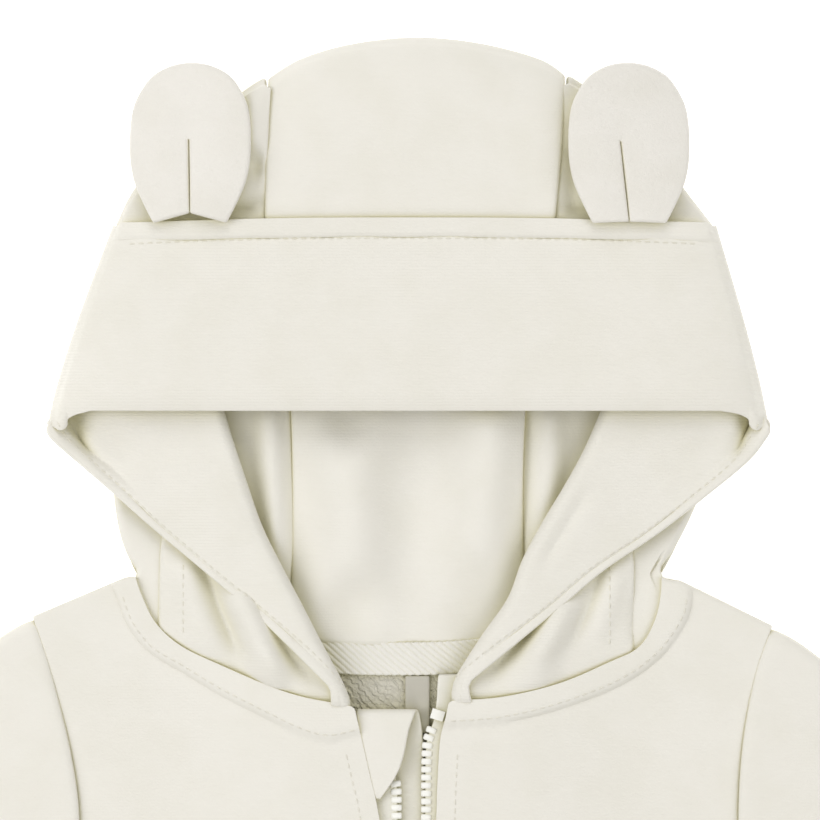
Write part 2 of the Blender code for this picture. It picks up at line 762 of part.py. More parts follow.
def hood_centre():
    """One strip from the back of the neck over the crown to the band."""
    columns = CENTRE_COLUMNS
    half_wall = FLEECE / 2
    rims = between(CROWN_OUTLINE, CENTRE_TOP[LEFT][0], CENTRE_TOP[RIGHT][0])
    crown = spline([Point(rim.x, rim.y) for rim in rims], columns)
    inward = np.tile([0.0, -1.0], (columns, 1))
    edge = crown + inward * half_wall
    low = np.full(columns, TABLE_LAYER)
    high = roof_height(*edge.T)
    reach = np.full(columns, CROWN_TURN)
    turn = half_turn(edge, inward, low, high, reach)
    ends = CENTRE_BACK[LEFT][0], CENTRE_BACK[RIGHT][0]
    neck_line = [ends[0], *between(NECK_BACK, *ends), ends[1]]
    neck = inset(spline(neck_line, columns), SEAM / 2)
    lower_left = spline(centre_edge(CENTRE_BACK[LEFT]), CENTRE_ROWS)
    lower_right = spline(centre_edge(CENTRE_BACK[RIGHT]), CENTRE_ROWS)
    lower_left[0], lower_right[0] = neck[0], neck[-1]
    below = patch_between(neck, turn[0][:, :2], lower_left, lower_right)
    upper_left = spline(centre_edge(CENTRE_TOP[LEFT]), CENTRE_TOP_ROWS)
    upper_right = spline(centre_edge(CENTRE_TOP[RIGHT]), CENTRE_TOP_ROWS)
    seam = spline(between(BAND_SEAM, CENTRE_TOP[LEFT][-1], CENTRE_TOP[RIGHT][-1]), columns)
    above = patch_between(turn[-1][:, :2], seam, upper_left, upper_right)
    return [
        np.vstack(
            [
                with_height(below, TABLE_LAYER),
                np.array(turn[1:-1]),
                with_height(above, roof_height),
            ]
        )
    ]


def hood_side(side):
    """Below on the table, round the outline, then on top and under the band."""
    upper_rows, lower_rows = SIDE_UPPER_ROWS, SECTION_ROWS + 2 - SIDE_NECK_CELLS
    half_wall = FLEECE / 2
    upper = spline(SIDE_UPPER[side], upper_rows)
    lower = spline(SIDE_LOWER[side], lower_rows)
    outline = np.vstack([upper, lower[1:]])
    inward = inward_of(outline, -side)
    inward[0] = (0.0, -1.0)
    edge = outline + inward * half_wall
    rows = len(outline)
    turn_rows = upper_rows - 1

    # Height of the upper layer at the outline, and of the outermost line.
    high = np.empty(rows)
    high[: turn_rows + 1] = side_top_height(*edge[: turn_rows + 1].T)
    high[turn_rows + 1 :] = front_height(*edge[turn_rows + 1 :].T)
    high[turn_rows] = (high[turn_rows - 1] + high[turn_rows + 1]) / 2
    outermost = (TABLE_LAYER + high) / 2
    reach = np.minimum((high - TABLE_LAYER) / 2, SIDE_TURN)
    reach[0] = CROWN_TURN

    def quarter(layer_height, picked, share):
        """Line between the outermost line and a layer, share of a quarter turn."""
        angle = share * math.pi / 2
        plan = edge[picked] + inward[picked] * (
            reach[picked] * (1 - math.cos(angle))
        )[:, None]
        rise = (layer_height - outermost[picked]) * math.sin(angle)
        return with_height(plan, outermost[picked] + rise)

    everything = slice(0, rows)
    table = np.full(rows, TABLE_LAYER)
    rim = quarter(table, everything, 0.0)
    bottom_turn = quarter(table, everything, 0.5)
    bottom_start = quarter(table, everything, 1.0)

    # Layer on the table.
    columns = SIDE_COLUMNS
    seam = spline(centre_edge(CENTRE_BACK[side]), FINE)[::-1]
    seam = seam[seam[:, 1] < bottom_start[0, 1] - SEAM_START]
    gap = np.array([side * SEAM, 0.0])
    neck_line = spline(NECK_BACK if side == LEFT else NECK_BACK[::-1], FINE)
    neck_line = neck_line[abs(neck_line[:, 0]) > abs(seam[-1, 0])]
    neck_line = neck_line[neck_line[:, 0] * side > 0]
    neck_line = inset(neck_line, -side * SEAM)
    inner = spread(seam + gap, rows)
    neck_line[0] = bottom_start[-1, :2]
    neck_line[-1] = inner[-1]
    crown_row = straight(bottom_start[0, :2], inner[0], columns)
    neck_row = spread(neck_line, columns)
    under = patch_between(crown_row, neck_row, bottom_start[:, :2], inner)
    under = with_height(under, TABLE_LAYER)
    bottom = np.concatenate(
        [rim[:, None], bottom_turn[:, None], under], axis=1
    )

    # Layer on top, down to the band's seam.
    picked = slice(0, turn_rows + 1)
    top_turn = quarter(high[picked], picked, 0.5)
    top_start = quarter(high[picked], picked, 1.0)
    top_seam = spline(centre_edge(CENTRE_TOP[side]), FINE) + gap
    top_seam = top_seam[top_seam[:, 1] < top_start[0, 1] - SEAM_START]
    top_seam = spread(top_seam, turn_rows + 1)
    crown_row = straight(top_start[0, :2], top_seam[0], columns)
    inner_end = CENTRE_TOP[side][-1].x
    seam_row = spline([p for p in BAND_SEAM if p.x * side >= inner_end * side], FINE)
    seam_row = seam_row if side == RIGHT else seam_row[::-1]
    seam_row[0] = top_seam[-1]
    seam_row[-1] = top_start[-1, :2]
    seam_row = spread(seam_row[::-1], columns)
    over = patch_between(crown_row, seam_row, top_start[:, :2], top_seam)
    over = with_height(over, side_top_height)
    over[:, 0] = top_start
    top = np.concatenate([rim[picked, None], top_turn[:, None], over], axis=1)

    # Lower side, from the outline to the band's seam.
    picked = slice(turn_rows, rows)
    side_turn = quarter(high[picked], picked, 0.5)
    side_start = quarter(high[picked], picked, 1.0)
    join = [(section.seam_x, section.seam_y) for section in band_sections(side)]
    join = np.vstack([edge[turn_rows], join[::-1]])
    hidden = smooth_step((join[:, 1] - PARTED_FROM) / PARTED_RUN)
    join[1:, 0] += side * PARTED * hidden[1:]
    neck = hood_neckline(side)[: SIDE_NECK_CELLS + 1]
    neck[1:-1] = inset(neckline(side), -side * 2 * SEAM)[1:SIDE_NECK_CELLS]
    join[-1] = neck[-1]
    start_line = side_start[:, :2].copy()
    start_line[0] = edge[turn_rows]
    first_row = np.repeat(edge[turn_rows][None], columns, axis=0)
    last_row = straight(start_line[-1], join[lower_rows - 1], columns)
    flank = patch_between(first_row, last_row, start_line, join[:lower_rows])
    flank = with_height(flank, front_height)
    flank[:, 0] = side_start
    flank[0] = rim[turn_rows]
    side_turn[0] = rim[turn_rows]
    low_side = np.concatenate([rim[picked, None], side_turn[:, None], flank], axis=1)

    # From there down to the neckline.
    neck[0] = rim[-1, :2]
    last_row = straight(neck[-2], neck[-1], low_side.shape[1])
    corner = patch_between(low_side[-1, :, :2], last_row, neck[:-1], join[lower_rows - 1 :])
    corner = with_height(corner, front_height)
    corner[0] = low_side[-1]
    return [bottom, top, low_side, corner]


def band_line(flat, fold, edge):
    """A line across the band: flat from its seam, round its fold, back to its edge."""
    reach = np.linalg.norm(fold - flat[-1])
    length = np.linalg.norm(edge - fold)
    turn_end = fold + (edge - fold) / length * min(reach, BACK_TURN * length)
    low = band_low_height(*fold)
    high = band_back_height(*fold)
    turn = []
    for angle in np.linspace(0.0, math.pi, FOLD_CELLS + 1)[1:-1]:
        end = flat[-1] if angle < math.pi / 2 else turn_end
        plan = fold + (end - fold) * (1 - math.sin(angle))
        height = (low + high) / 2 - (high - low) / 2 * math.cos(angle)
        turn.append([plan[0], plan[1], height])
    back_part = straight(turn_end, edge, BACK_CELLS + 1)
    return np.vstack(
        [with_height(flat, band_low_height), turn, with_height(back_part, band_back_height)]
    )


def band_sections(side):
    """The band's sections, evenly spaced from the neck to near its corner."""
    return [Section(*row) for row in spline(BAND_SECTIONS[side], SECTION_ROWS)]


def band_side(side):
    """Lines across the band from the neck to its corner, on one side."""
    neck = hood_neckline(side)[SIDE_NECK_CELLS:]
    neck[0, 0] -= side * SEAM
    way = (neck[-1] - neck[-2]) / np.linalg.norm(neck[-1] - neck[-2])
    neck[-1, 1] += SEAM
    fold = neck[-1] - way * BAND / 2
    lines = [band_line(neck[:-1], fold, fold - way * NECK_TUCK)]
    for section in band_sections(side)[1:]:
        seam = np.array([section.seam_x - side * SEAM, section.seam_y])
        fold = np.array([section.fold_x, section.fold_y])
        edge = np.array([section.edge_x, section.edge_y])
        width = np.linalg.norm(fold - seam)
        reach = min(FOLD_REACH, FOLD_SHARE * width)
        flat = straight(seam, fold + (seam - fold) / width * reach, FLAT_CELLS + 1)
        lines.append(band_line(flat, fold, edge))
    return lines


def hood_band():
    """A ring of double cloth: neck, left side, top, right side, neck."""
    cells = FLAT_CELLS + FOLD_CELLS + BACK_CELLS
    half_wall = BAND / 2
    corner = {}
    for side in (LEFT, RIGHT):
        start = np.array(BAND_TOP_END[side]) - (0.0, SEAM)
        way = np.array(BAND_CORNER[side]) - start
        length = np.linalg.norm(way)
        way /= length
        inward = np.tile([way[1] * side, -way[0] * side], (cells + 1, 1))
        strip = np.linspace(0.0, STRIP_WIDTH, FLAT_CELLS + FOLD_CELLS, endpoint=False)
        along = [*strip, *np.linspace(STRIP_WIDTH, length, BACK_CELLS + 1)]
        edge = start + np.outer(along, way) + inward * half_wall
        low = band_back_height(*edge.T)
        high = band_top_height(*edge.T)
        reach = np.minimum((high - low) / 2, BAND_REACH)
        corner[side] = half_turn(edge, inward, low, high, reach)

    left, right = corner[LEFT][-1], corner[RIGHT][-1]
    front_edge = spline(BAND_FRONT, FINE)
    seam_edge = spline(BAND_SEAM, FINE)
    top = []
    places = np.linspace(0, len(TOP_SHARES) - 1, TOP_ROWS)
    for share in np.interp(places, range(len(TOP_SHARES)), TOP_SHARES):
        line = (1 - share) * left + share * right
        down = (line[:, 1] - line[0, 1]) / (line[-1, 1] - line[0, 1])
        seam_y = np.interp(line[0, 0], seam_edge[:, 0], seam_edge[:, 1]) - SEAM
        front_y = np.interp(line[-1, 0], front_edge[:, 0], front_edge[:, 1])
        line[:, 1] = seam_y + down * (front_y - seam_y)
        top.append(with_height(line, band_top_height))
    ring = [
        *band_side(LEFT),
        *corner[LEFT][:-1],
        *top,
        *corner[RIGHT][:-1][::-1],
        *band_side(RIGHT)[::-1],
    ]
    return [np.array(ring)]


def ear(side):
    """Two lobes that meet above a tuck, lying on the hood's side panel."""
    centre = np.array([EAR_X[side], EAR_BASE_Y])
    reach = np.array(EAR_REACH)
    up_left = np.column_stack([-reach[:, 1], reach[:, 0]])
    up_right = np.column_stack([reach[:, 1], reach[:, 0]])[::-1]
    outline = spline(np.vstack([up_left, up_right[1:]]), EAR_ROWS)
    bottom, top = EAR_SLIT[side]
    slit_x = EAR_SLIT_X[side]
    rows = []
    for index, outer in enumerate(outline):
        share = index / (len(outline) - 1)
        along = min(1.0, min(share, 1 - share) / EAR_PARTED)
        lobe = -1 if share < 0.5 else 1
        gap = lobe * EAR_SLIT_GAP * (1 - along)
        inner = np.array([slit_x * along + gap, bottom + (top - bottom) * along])
        rows.append(straight(inner, outer, EAR_COLUMNS))
    plan = np.array(rows) + centre
    height = roof_height(plan[..., 0], plan[..., 1], EAR_LIFT) + EAR_CLEAR
    return [with_height(plan, height)]


def ear_weights():
    """The ear's wall thins towards its outline."""
    weights = np.ones((EAR_ROWS, EAR_COLUMNS))
    weights[:, -1] = 0.0
    weights[:, -2] = EAR_BESIDE_EDGE
    return [weights]


# ---- neck tape, label and zip ----


def neck_tape():
    """Tape over the seam of the back neck, on the inside of the back."""
    line = spline([p for p in NECK_BACK if abs(p.x) < NECK_TAPE_HALF], BACK_COLUMNS)
    upper = inset(line, -SEAM)
    lower = inset(line, -NECK_TAPE_WIDTH)
    plan = np.stack([upper, (upper + lower) / 2, lower])
    return [with_height(plan, TAPE_LAYER)]


def label():
    """A bare strip hanging from the neck tape."""
    rows = [straight((LABEL_LEFT, y), (LABEL_RIGHT, y), 3) for y in (LABEL_TOP, LABEL_END)]
    return [with_height(np.array(rows), TAPE_LAYER)]


def zip_half(side, top_y):
    """Tape with a bead along its inner edge that stands for the row of teeth."""
    open_part = spline(TOOTH_LINE[side], ZIP_ROWS)
    closed_x = TOOTH_LINE[side][-1].x
    closed = straight(open_part[-1], (closed_x, HEM_Y + TAPE_HEM), ZIP_CLOSED_ROWS)
    middle = np.vstack([open_part, closed[1:]])
    if top_y > middle[0, 1]:
        middle = np.vstack([[middle[0, 0] + side * TAPE_LEAN, top_y], middle])
    half_row = TOOTH_ROW / 2
    offsets = np.array([-half_row, 0.0, half_row, half_row + BEAD_STEP, TAPE_WIDTH])
    grid = np.stack([middle + np.array([side * offset, 0.0]) for offset in offsets], axis=1)
    return [with_height(grid, ZIP_LAYER)]


def bead_weights(grids):
    """Only the first three lines along the zip are as thick as its teeth."""
    return [np.tile([1.0, 1.0, 1.0, 0.0, 0.0], (len(grid), 1)) for grid in grids]


def strip_rows(table, columns):
    rows = []
    for row in table:
        start = (row.left, row.y, row.left_layer)
        rows.append(straight(start, (row.right, row.y, row.right_layer), columns))
    return rows


def zip_underlap():
    """Strip behind the zip whose top is folded forward over the zip's end."""
    behind = strip_rows(UNDERLAP, STRIP_LINES)
    flap = strip_rows(FLAP, STRIP_LINES)
    low, high = behind[-1], flap[0]
    turn = []
    for angle in (-math.pi / 4, 0.0, math.pi / 4):
        blend = (1 + math.sin(angle)) / 2
        line = low + (high - low) * blend
        line[:, 1] += FLAP_FOLD * math.cos(angle)
        turn.append(line)
    return [np.array(behind + turn + flap)]


def prism(outline, low, high):
    """A closed upright prism on an outline of points that run anticlockwise."""
    shell = bmesh.new()
    bottom = [shell.verts.new((x * MM, y * MM, low * MM)) for x, y in outline]
    top = [shell.verts.new((x * MM, y * MM, high * MM)) for x, y in outline]
    shell.faces.new(bottom[::-1])
    shell.faces.new(top)
    count = len(outline)
    for index in range(count):
        following = (index + 1) % count
        shell.faces.new((bottom[index], bottom[following], top[following], top[index]))
    return shell


def as_object(name, shell, cloth):
    mesh = bpy.data.meshes.new(name)
    shell.to_mesh(mesh)
    shell.free()
    return link(name, mesh, cloth)


def unite(body, pieces):
    """Join closed pieces to a body with Boolean modifiers that stay on it."""
    for piece in pieces:
        piece.hide_render = True
        piece.display_type = "WIRE"
        join = body.modifiers.new(piece.name, "BOOLEAN")
        join.operation = "UNION"
        join.solver = "EXACT"
        join.object = piece


def zip_slider():
    """Two plates joined by a wedge between the rows, with a bail for the pull."""
    half_gap = PLATE_GAP / 2
    plate = [
        (ZIP_X - SLIDER_HALF_END, SLIDER_END_Y),
        (ZIP_X + SLIDER_HALF_END, SLIDER_END_Y),
        (ZIP_X + SLIDER_HALF_TOP, SLIDER_TOP_Y - SLIDER_SHOULDER),
        (ZIP_X + SLIDER_HALF_TOP - SLIDER_CORNER, SLIDER_TOP_Y),
        (ZIP_X - SLIDER_HALF_TOP + SLIDER_CORNER, SLIDER_TOP_Y),
        (ZIP_X - SLIDER_HALF_TOP, SLIDER_TOP_Y - SLIDER_SHOULDER),
    ]
    upper = prism(plate, ZIP_LAYER + half_gap, ZIP_LAYER + half_gap + PLATE)
    lower = prism(plate, ZIP_LAYER - half_gap - PLATE, ZIP_LAYER - half_gap)
    wedge = [
        (ZIP_X, SLIDER_TOP_Y - WEDGE_END),
        (ZIP_X + WEDGE_HALF, SLIDER_TOP_Y - WEDGE_TOP),
        (ZIP_X - WEDGE_HALF, SLIDER_TOP_Y - WEDGE_TOP),
    ]
    post = prism(wedge, ZIP_LAYER - half_gap - SUNK, ZIP_LAYER + half_gap + SUNK)
    body = as_object("zip_slider", upper, "zip_metal")
    pieces = [as_object("lower_plate", lower, "zip_metal"), as_object("wedge", post, "zip_metal")]
    pieces.append(bail())
    unite(body, pieces)


def bail():
    """Arch over the upper plate, along the zip."""
    base = ZIP_LAYER + PLATE_GAP / 2 + PLATE - SUNK
    outer, inner = [], []
    for step in range(ARC_CELLS + 1):
        angle = math.pi * step / ARC_CELLS
        way = (math.cos(angle), math.sin(angle))
        outer.append((HINGE_Y - BAIL_HALF * way[0], base + (BAIL_RISE + BAIL_WIRE) * way[1]))
        inner.append(
            (HINGE_Y - (BAIL_HALF - BAIL_WIRE) * way[0], base + BAIL_RISE * way[1])
        )
    profile = outer + inner[::-1]
    shell = bmesh.new()
    sides = []
    for x in (ZIP_X - BAIL_WIDTH / 2, ZIP_X + BAIL_WIDTH / 2):
        sides.append([shell.verts.new((x * MM, y * MM, z * MM)) for y, z in profile])
    shell.faces.new(sides[0])
    shell.faces.new(sides[1][::-1])
    count = len(profile)
    for index in range(count):
        following = (index + 1) % count
        shell.faces.new(
            (sides[0][following], sides[0][index], sides[1][index], sides[1][following])
        )
    bmesh.ops.recalc_face_normals(shell, faces=shell.faces)
    return as_object("bail", shell, "zip_metal")


def pull_axis_height():
    return ZIP_LAYER + PLATE_GAP / 2 + PLATE + SEAM + PULL_BAR / 2


def zip_pull():
    """A flat tab with a window, hinged on the bar that lies under the bail."""
    end = -PULL_LENGTH
    outline = []
    for step in range(ARC_CELLS + 1):
        angle = math.pi + math.pi * step / ARC_CELLS
        outline.append((PULL_HALF * math.cos(angle), end + PULL_HALF + PULL_HALF * math.sin(angle)))
    bar_half = PULL_HALF * PULL_TAPER
    outline += [(bar_half, PULL_BAR / 2), (-bar_half, PULL_BAR / 2)]
    tab = prism(outline, -PULL_THICK / 2, PULL_THICK / 2)
    body = as_object("zip_pull", tab, "zip_metal")
    window = [
        (-PULL_ARM_X, -PULL_BAR / 2 - PULL_WINDOW),
        (PULL_ARM_X, -PULL_BAR / 2 - PULL_WINDOW),
        (PULL_ARM_X, -PULL_BAR / 2),
        (-PULL_ARM_X, -PULL_BAR / 2),
    ]
    cutter = as_object("window", prism(window, -PULL_THICK, PULL_THICK), "zip_metal")
    cutter.hide_render = True
    cutter.display_type = "WIRE"
    cut = body.modifiers.new("window", "BOOLEAN")
    cut.operation = "DIFFERENCE"
    cut.solver = "EXACT"
    cut.object = cutter
    for piece in (body, cutter):
        piece.location = (ZIP_X * MM, HINGE_Y * MM, pull_axis_height() * MM)


def main():
    for old in list(bpy.data.objects):
        bpy.data.objects.remove(old, do_unlink=True)
    sheet("back", back(), FLEECE, "fleece")
    sheet("hood_centre", hood_centre(), FLEECE, "fleece")
    sheet("hood_band", hood_band(), BAND, "fleece")
    for end, side in (("left", LEFT), ("right", RIGHT)):
        sheet(f"front_{end}", front(side), FLEECE, "fleece")
        sheet(f"sleeve_{end}", sleeve(side), FLEECE, "fleece", ring=True)
        sheet(f"hood_side_{end}", hood_side(side), FLEECE, "fleece")
        weights = ear_weights()
        sheet(f"ear_{end}", ear(side), EAR, "ear_cloth", thin=EAR_EDGE, weights=weights)
        tape = zip_half(side, ZIP_TOP[side])
        thin = TAPE / TOOTH_THICK
        weights = bead_weights(tape)
        sheet(f"zip_{end}", tape, TOOTH_THICK, "zip_tape", thin=thin, weights=weights)
    sheet("neck_tape", neck_tape(), TAPE, "tape")
    sheet("label", label(), TAPE, "label")
    sheet("zip_underlap", zip_underlap(), TAPE, "fleece")
    zip_slider()
    zip_pull()


main()
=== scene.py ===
"""Looks of a baby's hooded zip jacket that lies flat on its back.

X runs across the jacket, Y up to the crown of its hood and Z up from the table.
Tables and sizes are in millimetres, as in the solids that the pieces replace.
"""

import math
from collections import namedtuple

import bmesh
import bpy
import numpy as np
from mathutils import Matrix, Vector
from mathutils.bvhtree import BVHTree


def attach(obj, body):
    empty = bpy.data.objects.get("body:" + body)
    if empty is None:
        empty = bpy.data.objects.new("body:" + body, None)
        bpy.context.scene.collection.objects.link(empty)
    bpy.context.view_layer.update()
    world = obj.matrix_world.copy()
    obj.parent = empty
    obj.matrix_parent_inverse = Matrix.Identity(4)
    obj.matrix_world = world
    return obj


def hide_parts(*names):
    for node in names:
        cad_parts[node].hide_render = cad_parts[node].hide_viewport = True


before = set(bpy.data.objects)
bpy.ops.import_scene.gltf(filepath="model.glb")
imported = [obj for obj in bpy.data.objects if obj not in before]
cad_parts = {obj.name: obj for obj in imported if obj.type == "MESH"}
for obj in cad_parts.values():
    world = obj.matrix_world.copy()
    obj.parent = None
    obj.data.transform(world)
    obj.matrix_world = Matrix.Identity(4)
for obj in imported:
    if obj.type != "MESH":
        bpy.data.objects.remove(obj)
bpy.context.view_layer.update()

MM = 0.001
SEAM = -0.8  # sewn edges are pressed this far into each other
TABLE_GAP = 0.3  # room under the band, and behind the tapes at the neck
LEFT, RIGHT = -1, 1

# ---- cloth ----
FLEECE = 2.0
BAND = 3.0  # the hood's front band is double
EAR = 3.4
TAPE = 1.0  # woven tapes, label and the strip behind the zip

# ---- heights of the middle of each layer above the table ----
TABLE_LAYER = 1.0  # back, lower half of the sleeves, inside of the hood
FRONT_LAYER = 3.4  # fronts and the lower sides of the hood, away from the zip
FRONT_LIFT = 3.4  # the fronts rise by this much over the zip
LIFT_FLAT = 25.0  # half width of that rise
LIFT_RUN = 50.0  # how far out it fades
BAND_FOLD = 3.4  # from one layer of the folded band to the next
HOOD_REACH = {LEFT: 92.5, RIGHT: 98.5}  # the hood's sides carry the band this far out
BAND_DROP = 9.0  # beyond them it sinks to the table over this length
ROOF = 14.0  # top of the hood
ROOF_RUN = 9.0  # how fast the top rises from its edge
SIDE_STEP = 1.0  # the side panels lie this much under the centre panel
BAND_STEP = 0.6  # the band lies this much over it
ZIP_LAYER = 5.05

# ---- zip ----
ZIP_X = 2.1
TOOTH_PITCH_X = 2.4  # between the two rows when closed
CLOSED_EDGE = 4.5  # front edge to zip centre where the zip is closed
HEM_Y = -244.0

# ---- how finely the cloth is divided ----
ARMHOLE_ROWS, SEAM_ROWS = 37, 16
BACK_COLUMNS, SHOULDER_COLUMNS, FRONT_COLUMNS = 65, 13, 44
SLEEVE_RINGS = 44
CENTRE_COLUMNS, CENTRE_ROWS, CENTRE_TOP_ROWS = 37, 56, 20
SIDE_UPPER_ROWS, SIDE_COLUMNS = 29, 22
SIDE_NECK_CELLS = 8
SECTION_ROWS = 41
FLAT_CELLS, FOLD_CELLS, BACK_CELLS = 20, 8, 26
TURN_CELLS = 8
TOP_ROWS = 90
EAR_ROWS, EAR_COLUMNS = 93, 14
ZIP_ROWS = 60
ZIP_CLOSED_ROWS = 4
STRIP_LINES = 15
BAND_END_POINTS = 25
SPLINE_STEPS = 16  # between two points of a table
FINE = 200  # points of a line that is only read or divided again

Point = namedtuple("Point", "x y")
Rim = namedtuple("Rim", "x y edge")
Section = namedtuple("Section", "seam_x seam_y fold_x fold_y edge_x edge_y")
Strip = namedtuple("Strip", "y left right left_layer right_layer")


def path(*places):
    return [Point(*place) for place in places]


# Where the band's folded edge starts at its seam and ends at its corner.
BAND_TOP_END = {LEFT: Point(-87.0, 186.5), RIGHT: Point(94.0, 186.5)}
BAND_CORNER = {LEFT: Point(-106.5, 127.5), RIGHT: Point(109.8, 127.5)}
BAND_TURN = 3.9  # from the band's lower layer to its top layer at that edge

# Outline of the crown between those edges. edge is the height of the top layer
# just inside.
CROWN_OUTLINE = [
    Rim(-81.0, 199.0, 8.0), Rim(-68.4, 213.6, 6.8), Rim(-50.4, 226.0, 6.0),
    Rim(-40.5, 231.6, 6.0), Rim(-30.9, 237.6, 6.0), Rim(-15.9, 242.1, 6.0),
    Rim(3.6, 244.2, 6.0), Rim(23.1, 242.4, 6.0), Rim(41.1, 237.6, 6.0), Rim(48.6, 232.5, 6.0),
    Rim(59.1, 226.0, 6.0), Rim(74.1, 213.6, 6.8), Rim(84.3, 199.5, 8.0),
]

# Side panels: outline from the crown to the point where the band's seam turns under,
# and from there down to the shoulder.
SIDE_UPPER = {
    LEFT: path(
        (-41.2, 230.9), (-50.4, 225.9), (-68.4, 213.6), (-81.0, 198.9), (-87.0, 186.9),
    ),
    RIGHT: path(
        (49.3, 231.6), (59.1, 225.9), (74.1, 213.6), (84.3, 199.5), (94.0, 186.9),
    ),
}
SIDE_LOWER = {
    LEFT: path(
        (-87.0, 186.9), (-88.6, 174.0), (-89.2, 156.0), (-89.4, 135.0), (-88.6, 120.0),
        (-86.4, 99.0), (-83.4, 88.5), (-79.8, 82.8),
    ),
    RIGHT: path(
        (94.0, 186.9), (95.4, 174.0), (95.8, 156.0), (95.4, 135.0), (93.4, 120.0),
        (89.1, 105.0), (82.4, 91.0), (77.0, 83.4),
    ),
}

# Edges of the hood's centre panel, from the back of the neck up to the crown and
# then forward on top to the band.
CENTRE_BACK = {
    LEFT: path((-33.9, 63.2), (-33.9, 132.0), (-40.5, 231.6)),
    RIGHT: path((36.9, 64.2), (36.9, 132.0), (48.6, 232.5)),
}
CENTRE_TOP = {
    LEFT: path((-40.5, 231.6), (-41.1, 210.0), (-41.4, 188.4)),
    RIGHT: path((48.6, 232.5), (47.7, 210.0), (45.6, 188.4)),
}
# Seam of the band on top.
BAND_SEAM = path(
    (-87.0, 186.9), (-41.4, 188.4), (3.0, 188.7), (45.6, 188.4), (94.0, 186.9),
)

# The band below the hood's top, from the neck up to the corner: where it is sewn to
# the side panel, where it folds back and where its front edge lies.
BAND_SECTIONS = {
    LEFT: [
        Section(-73.2, 66.2, -16.5, 44.6, -17.6, 45.4),
        Section(-72.9, 75.0, -25.5, 61.5, -31.5, 59.4),
        Section(-72.6, 84.0, -30.9, 72.0, -44.4, 71.4),
        Section(-72.0, 93.0, -36.9, 83.4, -60.9, 85.2),
        Section(-69.3, 103.5, -43.5, 96.6, -75.9, 97.8),
        Section(-65.1, 114.0, -48.3, 110.4, -87.9, 108.6),
        Section(-61.5, 124.5, -52.5, 123.0, -98.4, 117.6),
        Section(-62.4, 136.0, -56.4, 135.5, -104.4, 123.0),
        Section(-68.4, 151.5, -63.4, 152.5, -106.0, 125.4),
        Section(-75.9, 168.0, -71.2, 169.5, -106.4, 126.8),
        Section(-81.8, 178.5, -77.6, 180.0, -106.5, 127.2),
    ],
    RIGHT: [
        Section(68.7, 60.3, 13.9, 46.5, 15.0, 47.3),
        Section(68.7, 69.0, 24.3, 63.0, 30.0, 59.7),
        Section(68.7, 78.0, 32.7, 75.0, 47.1, 73.5),
        Section(68.7, 87.0, 36.9, 86.4, 59.1, 83.7),
        Section(66.9, 97.5, 43.2, 98.1, 75.6, 94.8),
        Section(64.8, 108.0, 48.9, 107.4, 89.1, 105.3),
        Section(62.4, 120.0, 55.5, 119.4, 102.6, 116.4),
        Section(68.2, 136.0, 62.4, 135.5, 107.8, 123.0),
        Section(74.1, 151.5, 69.2, 152.5, 109.3, 125.4),
        Section(82.6, 168.0, 78.2, 169.5, 109.7, 126.8),
        Section(88.9, 178.5, 85.0, 180.0, 109.8, 127.2),
    ],
}
# Front edge of the band on top, from the left corner to the right one.
BAND_FRONT = path(
    (-102.2, 126.0), (-100.6, 129.0), (-97.6, 130.8), (-93.0, 131.8), (-85.0, 132.1),
    (2.0, 132.1), (88.0, 132.1), (96.0, 131.8), (100.8, 130.8), (103.8, 129.0), (105.4, 126.0),
)

# Seams of the body.
NECK_FRONT = {
    LEFT: path(
        (-80.4, 81.6), (-78.6, 76.5), (-74.4, 68.1), (-66.9, 61.2), (-54.9, 55.5),
        (-42.9, 50.4), (-30.9, 46.2), (-14.6, 43.2),
    ),
    RIGHT: path(
        (77.7, 82.2), (77.5, 76.5), (75.8, 69.0), (71.1, 60.8), (62.1, 56.4), (47.1, 50.1),
        (29.1, 45.9), (13.8, 45.0),
    ),
}
NECK_BACK = path(
    (-80.4, 81.6), (-62.0, 72.0), (-45.0, 65.4), (-22.0, 61.9), (0.0, 61.2), (22.0, 62.2),
    (45.0, 66.2), (62.0, 73.0), (77.7, 82.2),
)
SHOULDER_TIP = {LEFT: Point(-111.6, 68.4), RIGHT: Point(111.3, 65.6)}
ARMHOLE = {
    LEFT: path(
        (-111.6, 68.4), (-105.9, 51.0), (-100.4, 29.0), (-97.8, 9.0), (-99.4, -8.0),
        (-105.0, -23.0), (-116.0, -37.0), (-131.0, -50.0),
    ),
    RIGHT: path(
        (111.3, 65.6), (106.2, 51.0), (102.6, 31.0), (101.4, 9.0), (102.8, -8.0),
        (107.5, -23.0), (117.5, -37.0), (131.0, -50.0),
    ),
}
HEM_HALF = 133.0
SLEEVE_OUTER = path(
    (111.6, 68.4), (121.5, 63.2), (143.0, 45.0), (171.0, 7.0), (206.0, -52.0), (240.0, -110.0),
)
SLEEVE_INNER = path(
    (131.0, -50.0), (142.0, -54.5), (150.5, -70.0), (159.0, -99.0), (172.0, -143.0),
)

